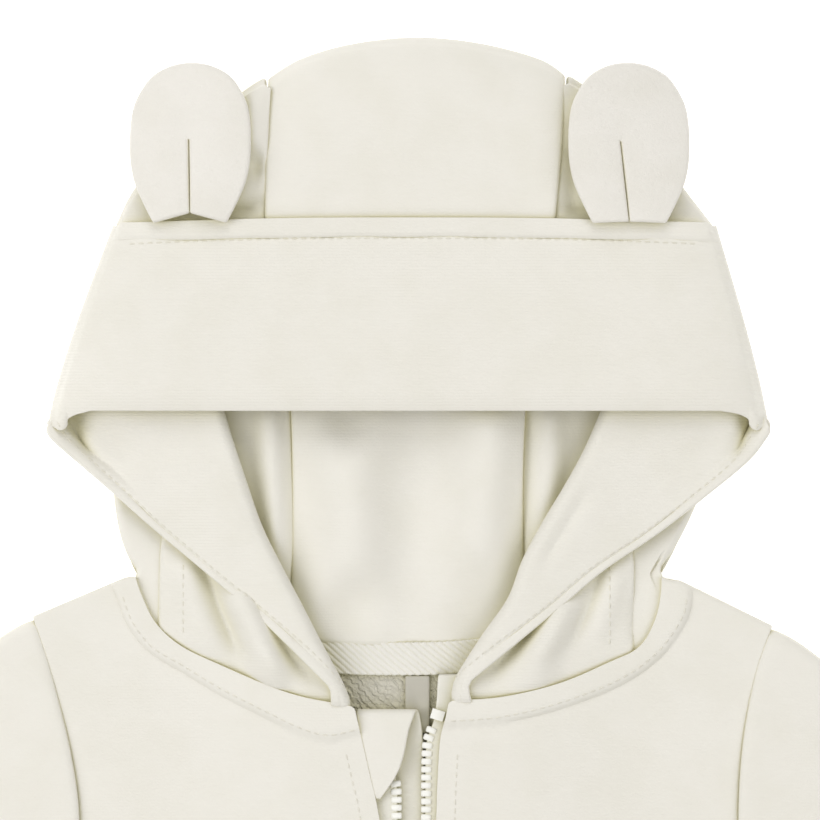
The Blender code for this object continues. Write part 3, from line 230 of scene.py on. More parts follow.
# Edge of each front along the zip and the middle of each row of teeth.
FRONT_EDGE = {
    LEFT: path(
        (-14.6, 43.2), (-12.9, 35.7), (-9.9, 22.5), (-8.1, 15.0), (-6.2, 4.0), (-4.2, -10.0),
        (ZIP_X - CLOSED_EDGE, -26.0),
    ),
    RIGHT: path(
        (13.8, 45.0), (12.6, 39.0), (11.1, 33.0), (10.2, 18.0), (9.9, 9.0), (8.4, -8.0),
        (ZIP_X + CLOSED_EDGE, -26.0),
    ),
}
TOOTH_LINE = {
    LEFT: path(
        (-8.2, 39.0), (-5.0, 30.0), (-2.3, 20.0), (-2.0, 9.0), (-1.5, -5.0), (-0.7, -17.0),
        (0.1, -26.0), (ZIP_X - TOOTH_PITCH_X / 2, -33.0),
    ),
    RIGHT: path(
        (10.6, 46.0), (9.8, 39.5), (8.3, 35.0), (7.3, 31.0), (7.05, 20.0), (7.0, 9.0),
        (6.2, -5.0), (5.0, -17.0), (4.1, -26.0), (ZIP_X + TOOTH_PITCH_X / 2, -33.0),
    ),
}
NECK_TAPE_HALF, NECK_TAPE_WIDTH = 50.0, 9.0
LABEL_LEFT, LABEL_RIGHT, LABEL_TOP, LABEL_END = 0.6, 8.1, 52.0, 34.5
TAPE_LAYER = TABLE_LAYER + FLEECE / 2 + TABLE_GAP + TAPE / 2  # on the inside of the back
ZIP_TOP = {LEFT: 39.0, RIGHT: 53.0}  # where each tape ends at the neck
TAPE_LEAN = 0.2  # how far out its end lies at the neck
TAPE_HEM = 2.0  # where it ends above the hem

# Strip behind the zip: up its length, over the zip's end and down to a point, with
# the heights of its two edges.
UNDERLAP = [
    Strip(HEM_Y, -13.0, 8.0, 2.62, 2.62),
    Strip(-120.0, -13.0, 8.0, 2.62, 2.62),
    Strip(-30.0, -13.0, 7.2, 2.62, 2.62),
    Strip(0.0, -13.0, 7.2, 2.62, 2.62),
    Strip(12.0, -13.0, 7.0, 2.62, 2.62),
    Strip(22.0, -13.0, 6.8, 2.62, 2.9),
    Strip(30.0, -12.6, 6.2, 2.62, 3.8),
    Strip(35.5, -12.4, 6.0, 2.62, 4.5),
    Strip(40.6, -13.6, 5.0, 2.7, 4.5),
]
FLAP = [
    Strip(40.2, -14.2, 3.4, 7.0, 8.0),
    Strip(36.0, -13.4, 1.6, 7.0, 8.0),
    Strip(30.0, -12.2, 0.8, 7.0, 7.9),
    Strip(24.0, -10.8, -0.8, 7.0, 7.7),
    Strip(19.0, -9.6, -4.0, 7.0, 7.5),
    Strip(15.0, -7.9, -7.1, 7.3, 7.3),
]
FLAP_FOLD = 1.4  # the strip's fold rises this far past its last row

# Ears: heights above the band's seam with half the width there, and where they stand.
EAR_REACH = [
    (0.0, 10.9), (6.0, 14.0), (12.0, 16.6), (18.0, 17.9), (24.0, 18.2), (30.0, 18.0),
    (36.0, 16.9), (42.0, 13.7), (45.2, 10.6), (47.6, 5.6), (48.4, 0.0),
]
EAR_X = {LEFT: -63.4, RIGHT: 67.4}
EAR_BASE_Y = 187.6
EAR_SLIT = {LEFT: (3.0, 25.6), RIGHT: (0.4, 25.0)}  # bottom and top of the tuck
EAR_SLIT_X = {LEFT: -0.4, RIGHT: -2.8}
EAR_SLIT_GAP = 0.06
EAR_PARTED = 0.3  # share of the outline beside the tuck on each side
EAR_CLEAR = 3.9  # middle of the ear above the middle of the roof
EAR_LIFT = 7.0  # how far inside the outline the roof is read for the ear

# ---- curves and grids ----


def steps_of(line):
    return np.linalg.norm(np.diff(line, axis=0), axis=1)


def lengths_along(line):
    return np.concatenate([[0.0], np.cumsum(steps_of(line))])


def spline(points, count):
    """A smooth curve through the points, as count points evenly spaced along it."""
    knots = np.array([list(point) for point in points], float)
    padded = np.vstack([2 * knots[0] - knots[1], knots, 2 * knots[-1] - knots[-2]])
    samples = []
    for index in range(len(knots) - 1):
        before, start, end, after = padded[index : index + 4]
        for t in np.linspace(0.0, 1.0, SPLINE_STEPS, endpoint=False):
            samples.append(
                0.5
                * (
                    2 * start
                    + (end - before) * t
                    + (2 * before - 5 * start + 4 * end - after) * t**2
                    + (3 * start - before - 3 * end + after) * t**3
                )
            )
    samples.append(knots[-1])
    return spread(np.array(samples), count)


def spread(points, count):
    """The same line with count points evenly spaced along it."""
    points = np.asarray(points, float)
    whole = np.sum(steps_of(points))
    return at_lengths(points, np.linspace(0.0, whole, count))


def straight(start, end, count):
    return spread([tuple(start), tuple(end)], count)


def inset(line, distance):
    """A parallel line at the given distance to the left of a line."""
    line = np.asarray(line, float)
    way = np.diff(line, axis=0)
    way /= np.linalg.norm(way, axis=1)[:, None]
    before, after = np.vstack([way[:1], way]), np.vstack([way, way[-1:]])
    middle = (before + after) / np.linalg.norm(before + after, axis=1)[:, None]
    stretch = distance / np.sum(middle * after, axis=1)
    return line + np.column_stack([-middle[:, 1], middle[:, 0]]) * stretch[:, None]


def at_lengths(line, lengths):
    """The points that lie at the given lengths along a line."""
    along = lengths_along(line)
    return np.column_stack([np.interp(lengths, along, column) for column in line.T])


def patch_between(first_row, last_row, first_column, last_column):
    """A grid that meets four lines. Rows run from the first row to the last."""
    columns, rows = len(first_row), len(first_column)
    across = np.linspace(0.0, 1.0, columns)[None, :, None]
    down = np.linspace(0.0, 1.0, rows)[:, None, None]
    corners = (
        (1 - down) * ((1 - across) * first_row[0] + across * first_row[-1])
        + down * ((1 - across) * last_row[0] + across * last_row[-1])
    )
    ruled = (1 - down) * first_row[None] + down * last_row[None]
    crossed = (1 - across) * first_column[:, None] + across * last_column[:, None]
    return ruled + crossed - corners


def smooth_step(value):
    value = np.clip(value, 0.0, 1.0)
    return value * value * (3 - 2 * value)


def with_height(plan, height):
    """Points with the heights that a number, an array or a function gives."""
    plan = np.asarray(plan, float)[..., :2]
    if callable(height):
        height = height(plan[..., 0], plan[..., 1])
    height = np.broadcast_to(height, plan.shape[:-1])
    return np.concatenate([plan, height[..., None]], axis=-1)


# ---- heights ----


def front_height(x, _y):
    """Middle of the fronts and of the hood's lower sides, which rise over the zip."""
    lift = smooth_step((LIFT_FLAT + LIFT_RUN - abs(x - ZIP_X)) / LIFT_RUN)
    return FRONT_LAYER + FRONT_LIFT * lift


def band_low_height(x, y):
    """Middle of the band where it lies on the side panel."""
    return front_height(x, y) + (BAND - FLEECE) / 2


def band_back_height(x, y):
    """Middle of the band where it is folded back over itself, down to the table."""
    reach = np.where(x < 0, HOOD_REACH[LEFT], HOOD_REACH[RIGHT])
    share = smooth_step((reach + BAND_DROP - abs(x)) / BAND_DROP)
    table = BAND / 2 + TABLE_GAP
    return table + share * (band_low_height(x, y) + BAND_FOLD - table)


def hood_outline():
    """Outline of the hood's top layer from corner to corner, with its edge heights."""
    ends = []
    for side in (LEFT, RIGHT):
        plan = straight(BAND_CORNER[side], BAND_TOP_END[side], BAND_END_POINTS)
        inner = plan - np.array([side * BAND / 2, 0.0])
        low = band_back_height(*inner.T)
        ends.append(with_height(plan, low + BAND_TURN - BAND_STEP))
    return np.vstack([ends[0], np.array(CROWN_OUTLINE), ends[1][::-1]])


def roof_height(x, y, deeper=0.0):
    """Middle of the hood's top layer, a soft rise from its outline."""
    outline = hood_outline()
    x, y = np.asarray(x, float), np.asarray(y, float)
    point = np.stack([x, y], axis=-1)[..., None, :]
    start, way = outline[:-1, :2], np.diff(outline[:, :2], axis=0)
    share = np.sum((point - start) * way, axis=-1) / np.sum(way * way, axis=-1)
    share = np.clip(share, 0.0, 1.0)
    nearest = start + share[..., None] * way
    gap = point - nearest
    distance = np.linalg.norm(gap, axis=-1)
    best = np.argmin(distance, axis=-1)[..., None]
    edge = outline[:-1, 2] + share * np.diff(outline[:, 2])
    side = way[:, 0] * gap[..., 1] - way[:, 1] * gap[..., 0]
    signed = np.where(side < 0, distance, -distance)
    depth = np.maximum(np.take_along_axis(signed, best, -1)[..., 0] + deeper, 0.0)
    low = np.take_along_axis(edge, best, -1)[..., 0]
    return low + (ROOF - low) * (1 - np.exp(-depth / ROOF_RUN))


def side_top_height(x, y):
    return roof_height(x, y) - SIDE_STEP


def band_top_height(x, y):
    return roof_height(x, y) + BAND_STEP


def half_turn(edge, inward, low, high, reach):
    """Rows of points that turn from the low layer to the high one round an edge.

    edge is the outermost line of the wall's middle, inward points away from it and
    reach is how far the turn stretches inward. The first row is the low one.
    """
    rows = []
    for angle in np.linspace(-math.pi / 2, math.pi / 2, TURN_CELLS + 1):
        plan = edge + inward * (reach * (1 - math.cos(angle)))[:, None]
        height = (low + high) / 2 + (high - low) / 2 * math.sin(angle)
        rows.append(with_height(plan, height))
    return rows


def inward_of(line, side):
    """Unit vectors square to a line, towards the middle of the jacket."""
    way = np.gradient(line, axis=0)
    way /= np.linalg.norm(way, axis=1)[:, None]
    square = np.column_stack([-way[:, 1], way[:, 0]])
    return square * side


# ---- body ----

SLEEVE_LOFT, SLEEVE_RISE = 2.6, 1.8  # between its layers at the folds, more between
SLEEVE_TIP = 2.2  # reach of the folds along its sides
NECK_TUCK = 5.0  # where the band's fold starts, at its end on the neckline
BACK_GAP = 0.48  # between the neckline and the back, which the tape covers


def neckline(side):
    """Corners of a front's edge: along the side panel, the band and its fold."""
    line = spline(NECK_FRONT[side], FINE)
    along = lengths_along(line)
    seam = np.interp(-abs(BAND_SECTIONS[side][0].seam_x), -abs(line[:, 0]), along)
    fold = along[-1] - NECK_TUCK
    beside = np.linspace(0.0, seam, SIDE_NECK_CELLS + 1)
    below = np.linspace(seam, fold, FLAT_CELLS + 1)
    return at_lengths(line, np.concatenate([beside, below[1:], along[-1:]]))


def hood_neckline(side):
    """The same line on the hood's side of the seam."""
    return inset(neckline(side), -side * SEAM)


def side_edge(side, armhole_rows, seam_rows):
    """Outer edge of a body panel from the shoulder tip to the hem."""
    armhole = spread(spline(ARMHOLE[side], ARMHOLE_ROWS), armhole_rows)
    seam = straight(ARMHOLE[side][-1], (side * HEM_HALF, HEM_Y), seam_rows)
    return np.vstack([armhole, seam[1:]])


def back():
    """Rows run from the shoulders and the neck to the hem."""
    left = straight(SHOULDER_TIP[LEFT], NECK_BACK[0], SHOULDER_COLUMNS)
    right = straight(NECK_BACK[-1], SHOULDER_TIP[RIGHT], SHOULDER_COLUMNS)
    neck = inset(spline(NECK_BACK, BACK_COLUMNS), -BACK_GAP)
    top = np.vstack([left[:-1], neck, right[1:]])
    hem = straight((-HEM_HALF, HEM_Y), (HEM_HALF, HEM_Y), len(top))
    left_edge = side_edge(LEFT, ARMHOLE_ROWS, SEAM_ROWS)
    right_edge = side_edge(RIGHT, ARMHOLE_ROWS, SEAM_ROWS)
    plan = patch_between(top, hem, left_edge, right_edge)
    return [with_height(plan, TABLE_LAYER)]


def front(side):
    """Rows run from the armhole and side seam to the neck and the zip."""
    neck = neckline(side)
    edge = spline(FRONT_EDGE[side], 2 * ARMHOLE_ROWS - len(neck))
    closed = straight(FRONT_EDGE[side][-1], (FRONT_EDGE[side][-1].x, HEM_Y), SEAM_ROWS)
    inner = np.vstack([neck, edge[1:], closed[1:]])
    outer = side_edge(side, 2 * ARMHOLE_ROWS - 1, SEAM_ROWS)
    shoulder = straight(outer[0], inner[0], FRONT_COLUMNS)
    hem = straight(outer[-1], inner[-1], FRONT_COLUMNS)
    plan = patch_between(shoulder, hem, outer, inner)
    return [with_height(plan, front_height)]


def sleeve(side):
    """A flat tube from the armhole to the cuff."""
    mirror = np.array([side, 1.0])
    clear = np.full(ARMHOLE_ROWS, SEAM)
    clear[-1] += FLEECE / 2  # room for the fold at the underarm
    cap = inset(spline(ARMHOLE[side], ARMHOLE_ROWS), side * clear)
    cap[0] += (cap[1] - cap[0]) / np.linalg.norm(cap[1] - cap[0]) * FLEECE / 2
    start, end = np.array(SLEEVE_OUTER[0]), np.array(SLEEVE_INNER[0])
    fade = np.linspace(1.0, 0.0, SLEEVE_RINGS)[:, None]
    outer = spline(SLEEVE_OUTER, SLEEVE_RINGS) + fade * (cap[0] * mirror - start)
    inner = spline(SLEEVE_INNER, SLEEVE_RINGS) + fade * (cap[-1] * mirror - end)
    cuff = straight(outer[-1], inner[-1], ARMHOLE_ROWS) * mirror
    plan = patch_between(cap, cuff, outer * mirror, inner * mirror)
    across = np.linspace(0.0, 1.0, plan.shape[1])
    loft = SLEEVE_LOFT + SLEEVE_RISE * np.sin(math.pi * across)
    tube = []
    for line in with_height(plan, TABLE_LAYER + loft / 2):
        upper = line + np.outer(loft / 2, (0.0, 0.0, 1.0))
        lower = line - np.outer(loft / 2, (0.0, 0.0, 1.0))
        for layer in (upper, lower):
            for end, following in ((0, 1), (-1, -2)):
                way = line[following, :2] - line[end, :2]
                layer[end, :2] += way / np.linalg.norm(way) * SLEEVE_TIP
        tube.append(np.vstack([line[:1], upper, line[-1:], lower[::-1]]))
    return [np.array(tube)]


# ---- hood ----

CROWN_TURN = 2.5  # reach of the crown's fold
SIDE_TURN = 3.0  # reach of the fold along the side panels, at most
SEAM_START = 0.5  # a seam starts at least this far below the crown's fold
PARTED = 1.2  # the band's seam opens by this much where it turns under the crown
PARTED_FROM, PARTED_RUN = 130.0, 30.0
FOLD_REACH = 2.1  # where the band's fold starts, before its line
FOLD_SHARE = 0.6  # and at most this share of the width from seam to fold
BACK_TURN = 0.4  # the fold ends within this share of the part folded back
BAND_REACH = 2.2  # how far the band's turn at its folded edge stretches inward
STRIP_WIDTH = 5.6  # raised seam allowance along the band's seam on top
TOP_SHARES = [0.0, 0.02, 0.06, 0.13, 0.25, 0.42, 0.58, 0.75, 0.87, 0.94, 0.98, 1.0]


def between(points, left, right):
    """The points of a table that lie between two others, or on them."""
    return [point for point in points if left.x <= point.x <= right.x]


def centre_edge(table):
    """An edge of the centre panel that ends where the crown starts to turn."""
    line = np.array(table)
    crown = 0 if line[0, 1] > line[-1, 1] else -1
    line[crown, 1] -= FLEECE / 2 + CROWN_TURN
    return line


def hood_centre():
    """One strip from the back of the neck over the crown to the band."""
    columns = CENTRE_COLUMNS
    half_wall = FLEECE / 2
    rims = between(CROWN_OUTLINE, CENTRE_TOP[LEFT][0], CENTRE_TOP[RIGHT][0])
    crown = spline([Point(rim.x, rim.y) for rim in rims], columns)
    inward = np.tile([0.0, -1.0], (columns, 1))
    edge = crown + inward * half_wall
    low = np.full(columns, TABLE_LAYER)
    high = roof_height(*edge.T)
    reach = np.full(columns, CROWN_TURN)
    turn = half_turn(edge, inward, low, high, reach)
    ends = CENTRE_BACK[LEFT][0], CENTRE_BACK[RIGHT][0]
    neck_line = [ends[0], *between(NECK_BACK, *ends), ends[1]]
    neck = inset(spline(neck_line, columns), SEAM / 2)
    lower_left = spline(centre_edge(CENTRE_BACK[LEFT]), CENTRE_ROWS)
    lower_right = spline(centre_edge(CENTRE_BACK[RIGHT]), CENTRE_ROWS)
    lower_left[0], lower_right[0] = neck[0], neck[-1]
    below = patch_between(neck, turn[0][:, :2], lower_left, lower_right)
    upper_left = spline(centre_edge(CENTRE_TOP[LEFT]), CENTRE_TOP_ROWS)
    upper_right = spline(centre_edge(CENTRE_TOP[RIGHT]), CENTRE_TOP_ROWS)
    seam = spline(between(BAND_SEAM, CENTRE_TOP[LEFT][-1], CENTRE_TOP[RIGHT][-1]), columns)
    above = patch_between(turn[-1][:, :2], seam, upper_left, upper_right)
    return [
        np.vstack(
            [
                with_height(below, TABLE_LAYER),
                np.array(turn[1:-1]),
                with_height(above, roof_height),
            ]
        )
    ]


def hood_side(side):
    """Below on the table, round the outline, then on top and under the band."""
    upper_rows, lower_rows = SIDE_UPPER_ROWS, SECTION_ROWS + 2 - SIDE_NECK_CELLS
    half_wall = FLEECE / 2
    upper = spline(SIDE_UPPER[side], upper_rows)
    lower = spline(SIDE_LOWER[side], lower_rows)
    outline = np.vstack([upper, lower[1:]])
    inward = inward_of(outline, -side)
    inward[0] = (0.0, -1.0)
    edge = outline + inward * half_wall
    rows = len(outline)
    turn_rows = upper_rows - 1

    # Height of the upper layer at the outline, and of the outermost line.
    high = np.empty(rows)
    high[: turn_rows + 1] = side_top_height(*edge[: turn_rows + 1].T)
    high[turn_rows + 1 :] = front_height(*edge[turn_rows + 1 :].T)
    high[turn_rows] = (high[turn_rows - 1] + high[turn_rows + 1]) / 2
    outermost = (TABLE_LAYER + high) / 2
    reach = np.minimum((high - TABLE_LAYER) / 2, SIDE_TURN)
    reach[0] = CROWN_TURN

    def quarter(layer_height, picked, share):
        """Line between the outermost line and a layer, share of a quarter turn."""
        angle = share * math.pi / 2
        plan = edge[picked] + inward[picked] * (
            reach[picked] * (1 - math.cos(angle))
        )[:, None]
        rise = (layer_height - outermost[picked]) * math.sin(angle)
        return with_height(plan, outermost[picked] + rise)

    everything = slice(0, rows)
    table = np.full(rows, TABLE_LAYER)
    rim = quarter(table, everything, 0.0)
    bottom_turn = quarter(table, everything, 0.5)
    bottom_start = quarter(table, everything, 1.0)

    # Layer on the table.
    columns = SIDE_COLUMNS
    seam = spline(centre_edge(CENTRE_BACK[side]), FINE)[::-1]
    seam = seam[seam[:, 1] < bottom_start[0, 1] - SEAM_START]
    gap = np.array([side * SEAM, 0.0])
    neck_line = spline(NECK_BACK if side == LEFT else NECK_BACK[::-1], FINE)
    neck_line = neck_line[abs(neck_line[:, 0]) > abs(seam[-1, 0])]
    neck_line = neck_line[neck_line[:, 0] * side > 0]
    neck_line = inset(neck_line, -side * SEAM)
    inner = spread(seam + gap, rows)
    neck_line[0] = bottom_start[-1, :2]
    neck_line[-1] = inner[-1]
    crown_row = straight(bottom_start[0, :2], inner[0], columns)
    neck_row = spread(neck_line, columns)
    under = patch_between(crown_row, neck_row, bottom_start[:, :2], inner)
    under = with_height(under, TABLE_LAYER)
    bottom = np.concatenate(
        [rim[:, None], bottom_turn[:, None], under], axis=1
    )

    # Layer on top, down to the band's seam.
    picked = slice(0, turn_rows + 1)
    top_turn = quarter(high[picked], picked, 0.5)
    top_start = quarter(high[picked], picked, 1.0)
    top_seam = spline(centre_edge(CENTRE_TOP[side]), FINE) + gap
    top_seam = top_seam[top_seam[:, 1] < top_start[0, 1] - SEAM_START]
    top_seam = spread(top_seam, turn_rows + 1)
    crown_row = straight(top_start[0, :2], top_seam[0], columns)
    inner_end = CENTRE_TOP[side][-1].x
    seam_row = spline([p for p in BAND_SEAM if p.x * side >= inner_end * side], FINE)
    seam_row = seam_row if side == RIGHT else seam_row[::-1]
    seam_row[0] = top_seam[-1]
    seam_row[-1] = top_start[-1, :2]
    seam_row = spread(seam_row[::-1], columns)
    over = patch_between(crown_row, seam_row, top_start[:, :2], top_seam)
    over = with_height(over, side_top_height)
    over[:, 0] = top_start
    top = np.concatenate([rim[picked, None], top_turn[:, None], over], axis=1)

    # Lower side, from the outline to the band's seam.
    picked = slice(turn_rows, rows)
    side_turn = quarter(high[picked], picked, 0.5)
    side_start = quarter(high[picked], picked, 1.0)
    join = [(section.seam_x, section.seam_y) for section in band_sections(side)]
    join = np.vstack([edge[turn_rows], join[::-1]])
    hidden = smooth_step((join[:, 1] - PARTED_FROM) / PARTED_RUN)
    join[1:, 0] += side * PARTED * hidden[1:]
    neck = hood_neckline(side)[: SIDE_NECK_CELLS + 1]
    neck[1:-1] = inset(neckline(side), -side * 2 * SEAM)[1:SIDE_NECK_CELLS]
    join[-1] = neck[-1]
    start_line = side_start[:, :2].copy()
    start_line[0] = edge[turn_rows]
    first_row = np.repeat(edge[turn_rows][None], columns, axis=0)
    last_row = straight(start_line[-1], join[lower_rows - 1], columns)
    flank = patch_between(first_row, last_row, start_line, join[:lower_rows])
    flank = with_height(flank, front_height)
    flank[:, 0] = side_start
    flank[0] = rim[turn_rows]
    side_turn[0] = rim[turn_rows]
    low_side = np.concatenate([rim[picked, None], side_turn[:, None], flank], axis=1)

    # From there down to the neckline.
    neck[0] = rim[-1, :2]
    last_row = straight(neck[-2], neck[-1], low_side.shape[1])
    corner = patch_between(low_side[-1, :, :2], last_row, neck[:-1], join[lower_rows - 1 :])
    corner = with_height(corner, front_height)
    corner[0] = low_side[-1]
    return [bottom, top, low_side, corner]


def band_line(flat, fold, edge):
    """A line across the band: flat from its seam, round its fold, back to its edge."""
    reach = np.linalg.norm(fold - flat[-1])
    length = np.linalg.norm(edge - fold)
    turn_end = fold + (edge - fold) / length * min(reach, BACK_TURN * length)
    low = band_low_height(*fold)
    high = band_back_height(*fold)
    turn = []
    for angle in np.linspace(0.0, math.pi, FOLD_CELLS + 1)[1:-1]:
        end = flat[-1] if angle < math.pi / 2 else turn_end
        plan = fold + (end - fold) * (1 - math.sin(angle))
        height = (low + high) / 2 - (high - low) / 2 * math.cos(angle)
        turn.append([plan[0], plan[1], height])
    back_part = straight(turn_end, edge, BACK_CELLS + 1)
    return np.vstack(
        [with_height(flat, band_low_height), turn, with_height(back_part, band_back_height)]
    )


def band_sections(side):
    """The band's sections, evenly spaced from the neck to near its corner."""
    return [Section(*row) for row in spline(BAND_SECTIONS[side], SECTION_ROWS)]


def band_side(side):
    """Lines across the band from the neck to its corner, on one side."""
    neck = hood_neckline(side)[SIDE_NECK_CELLS:]
    neck[0, 0] -= side * SEAM
    way = (neck[-1] - neck[-2]) / np.linalg.norm(neck[-1] - neck[-2])
    neck[-1, 1] += SEAM
    fold = neck[-1] - way * BAND / 2
    lines = [band_line(neck[:-1], fold, fold - way * NECK_TUCK)]
    for section in band_sections(side)[1:]:
        seam = np.array([section.seam_x - side * SEAM, section.seam_y])
        fold = np.array([section.fold_x, section.fold_y])
        edge = np.array([section.edge_x, section.edge_y])
        width = np.linalg.norm(fold - seam)
        reach = min(FOLD_REACH, FOLD_SHARE * width)
        flat = straight(seam, fold + (seam - fold) / width * reach, FLAT_CELLS + 1)
        lines.append(band_line(flat, fold, edge))
    return lines


def hood_band():
    """A ring of double cloth: neck, left side, top, right side, neck."""
    cells = FLAT_CELLS + FOLD_CELLS + BACK_CELLS
    half_wall = BAND / 2
    corner = {}
    for side in (LEFT, RIGHT):
        start = np.array(BAND_TOP_END[side]) - (0.0, SEAM)
        way = np.array(BAND_CORNER[side]) - start
        length = np.linalg.norm(way)
        way /= length
        inward = np.tile([way[1] * side, -way[0] * side], (cells + 1, 1))
        strip = np.linspace(0.0, STRIP_WIDTH, FLAT_CELLS + FOLD_CELLS, endpoint=False)
        along = [*strip, *np.linspace(STRIP_WIDTH, length, BACK_CELLS + 1)]
        edge = start + np.outer(along, way) + inward * half_wall
        low = band_back_height(*edge.T)
        high = band_top_height(*edge.T)
        reach = np.minimum((high - low) / 2, BAND_REACH)
        corner[side] = half_turn(edge, inward, low, high, reach)

    left, right = corner[LEFT][-1], corner[RIGHT][-1]
    front_edge = spline(BAND_FRONT, FINE)
    seam_edge = spline(BAND_SEAM, FINE)
    top = []
    places = np.linspace(0, len(TOP_SHARES) - 1, TOP_ROWS)
    for share in np.interp(places, range(len(TOP_SHARES)), TOP_SHARES):
        line = (1 - share) * left + share * right
        down = (line[:, 1] - line[0, 1]) / (line[-1, 1] - line[0, 1])
        seam_y = np.interp(line[0, 0], seam_edge[:, 0], seam_edge[:, 1]) - SEAM
        front_y = np.interp(line[-1, 0], front_edge[:, 0], front_edge[:, 1])
        line[:, 1] = seam_y + down * (front_y - seam_y)
        top.append(with_height(line, band_top_height))
    ring = [
        *band_side(LEFT),
        *corner[LEFT][:-1],
        *top,
        *corner[RIGHT][:-1][::-1],
        *band_side(RIGHT)[::-1],
    ]
    return [np.array(ring)]


def ear(side):
    """Two lobes that meet above a tuck, lying on the hood's side panel."""
    centre = np.array([EAR_X[side], EAR_BASE_Y])
    reach = np.array(EAR_REACH)
    up_left = np.column_stack([-reach[:, 1], reach[:, 0]])
    up_right = np.column_stack([reach[:, 1], reach[:, 0]])[::-1]
    outline = spline(np.vstack([up_left, up_right[1:]]), EAR_ROWS)
    bottom, top = EAR_SLIT[side]
    slit_x = EAR_SLIT_X[side]
    rows = []
    for index, outer in enumerate(outline):
        share = index / (len(outline) - 1)
        along = min(1.0, min(share, 1 - share) / EAR_PARTED)
        lobe = -1 if share < 0.5 else 1
        gap = lobe * EAR_SLIT_GAP * (1 - along)
        inner = np.array([slit_x * along + gap, bottom + (top - bottom) * along])
        rows.append(straight(inner, outer, EAR_COLUMNS))
    plan = np.array(rows) + centre
    height = roof_height(plan[..., 0], plan[..., 1], EAR_LIFT) + EAR_CLEAR
    return [with_height(plan, height)]


# ---- neck tape, label and zip ----


def neck_tape():
    """Tape over the seam of the back neck, on the inside of the back."""
    line = spline([p for p in NECK_BACK if abs(p.x) < NECK_TAPE_HALF], BACK_COLUMNS)
    upper = inset(line, -SEAM)
    lower = inset(line, -NECK_TAPE_WIDTH)
    plan = np.stack([upper, (upper + lower) / 2, lower])
    return [with_height(plan, TAPE_LAYER)]


def label():
    """A bare strip hanging from the neck tape."""
    rows = [straight((LABEL_LEFT, y), (LABEL_RIGHT, y), 3) for y in (LABEL_TOP, LABEL_END)]
    return [with_height(np.array(rows), TAPE_LAYER)]


def zip_line(side):
    """Middle of a row of teeth from the neck to the hem, at the height of its tape."""
    open_part = spline(TOOTH_LINE[side], ZIP_ROWS)
    closed_x = TOOTH_LINE[side][-1].x
    closed = straight(open_part[-1], (closed_x, HEM_Y + TAPE_HEM), ZIP_CLOSED_ROWS)
    middle = np.vstack([open_part, closed[1:]])
    if ZIP_TOP[side] > middle[0, 1]:
        middle = np.vstack([[middle[0, 0] + side * TAPE_LEAN, ZIP_TOP[side]], middle])
    return with_height(middle, ZIP_LAYER)


def strip_rows(table, columns):
    rows = []
    for row in table:
        start = (row.left, row.y, row.left_layer)
        rows.append(straight(start, (row.right, row.y, row.right_layer), columns))
    return rows


def zip_underlap():
    """Strip behind the zip whose top is folded forward over the zip's end."""
    behind = strip_rows(UNDERLAP, STRIP_LINES)
    flap = strip_rows(FLAP, STRIP_LINES)
    low, high = behind[-1], flap[0]
    turn = []
    for angle in (-math.pi / 4, 0.0, math.pi / 4):
        blend = (1 + math.sin(angle)) / 2
        line = low + (high - low) * blend
        line[:, 1] += FLAP_FOLD * math.cos(angle)
        turn.append(line)
    return [np.array(behind + turn + flap)]


# ---- cloth pieces ----

WELD = 0.004  # corners of two grids that lie closer than this are one
CREASE_POINTS = 40
CREASE_EASE = 0.3  # share of a crease over which each of its ends fades

Cut = namedtuple("Cut", "width length held rests_on")


def skin(shell, rings, closed):
    """Faces between lines of vertices that follow one another."""
    count = len(rings[0])
    for ring, following in zip(rings, rings[1:]):
        for step in range(count if closed else count - 1):
            beside = (step + 1) % count
            shell.faces.new((ring[step], ring[beside], following[beside], following[step]))


def joined(grids, ring):
    """One mesh from grids that share their edges, in metres."""
    shell = bmesh.new()
    for grid in grids:
        rows = [[shell.verts.new(point) for point in row] for row in grid * MM]
        skin(shell, rows, ring)
    bmesh.ops.remove_doubles(shell, verts=shell.verts, dist=WELD * MM)
    bmesh.ops.recalc_face_normals(shell, faces=shell.faces)
    return shell


def settle(body):
    """Replaces an object's mesh by what its modifiers make of it."""
    graph = bpy.context.evaluated_depsgraph_get()
    made = bpy.data.meshes.new_from_object(body.evaluated_get(graph))
    body.modifiers.clear()
    body.data = made
    made.shade_smooth()


def new_object(name, shell, look):
    mesh = bpy.data.meshes.new(name)
    shell.to_mesh(mesh)
    shell.free()
    body = bpy.data.objects.new(name, mesh)
    body.data.materials.append(look)
    bpy.context.scene.collection.objects.link(body)
    mesh.shade_smooth()
    return body


def cloth(name, grids, wall, look, node, ring=False, rounds=1):
    """A piece of cloth round its middle surface, with soft rims, that replaces a node."""
    shell = joined(grids, ring)
    area = sum(face.calc_area() for face in shell.faces)
    body = new_object(name, shell, look)
    thicken = body.modifiers.new("wall", "SOLIDIFY")
    thicken.thickness = wall * MM
    thicken.offset = 0.0
    soften = body.modifiers.new("soften", "SUBSURF")
    soften.levels = soften.render_levels = rounds
    settle(body)
    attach(body, "garment")
    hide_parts(node)
    return body


def distance_left_of(plan, curve):
    """How far the points of a plan lie to the left of a line, negative to its right."""
    curve = np.asarray(curve, float)[:, :2]
    start, way = curve[:-1], np.diff(curve, axis=0)
    gap = plan[..., None, :2] - start
    share = np.clip(np.sum(gap * way, -1) / np.sum(way * way, -1), 0.0, 1.0)
    far = np.linalg.norm(gap - share[..., None] * way, axis=-1)
    nearest = np.argmin(far, axis=-1)[..., None]
    turn = way[:, 0] * gap[..., 1] - way[:, 1] * gap[..., 0]
    picked = np.take_along_axis(np.copysign(far, turn), nearest, -1)
    return picked[..., 0]


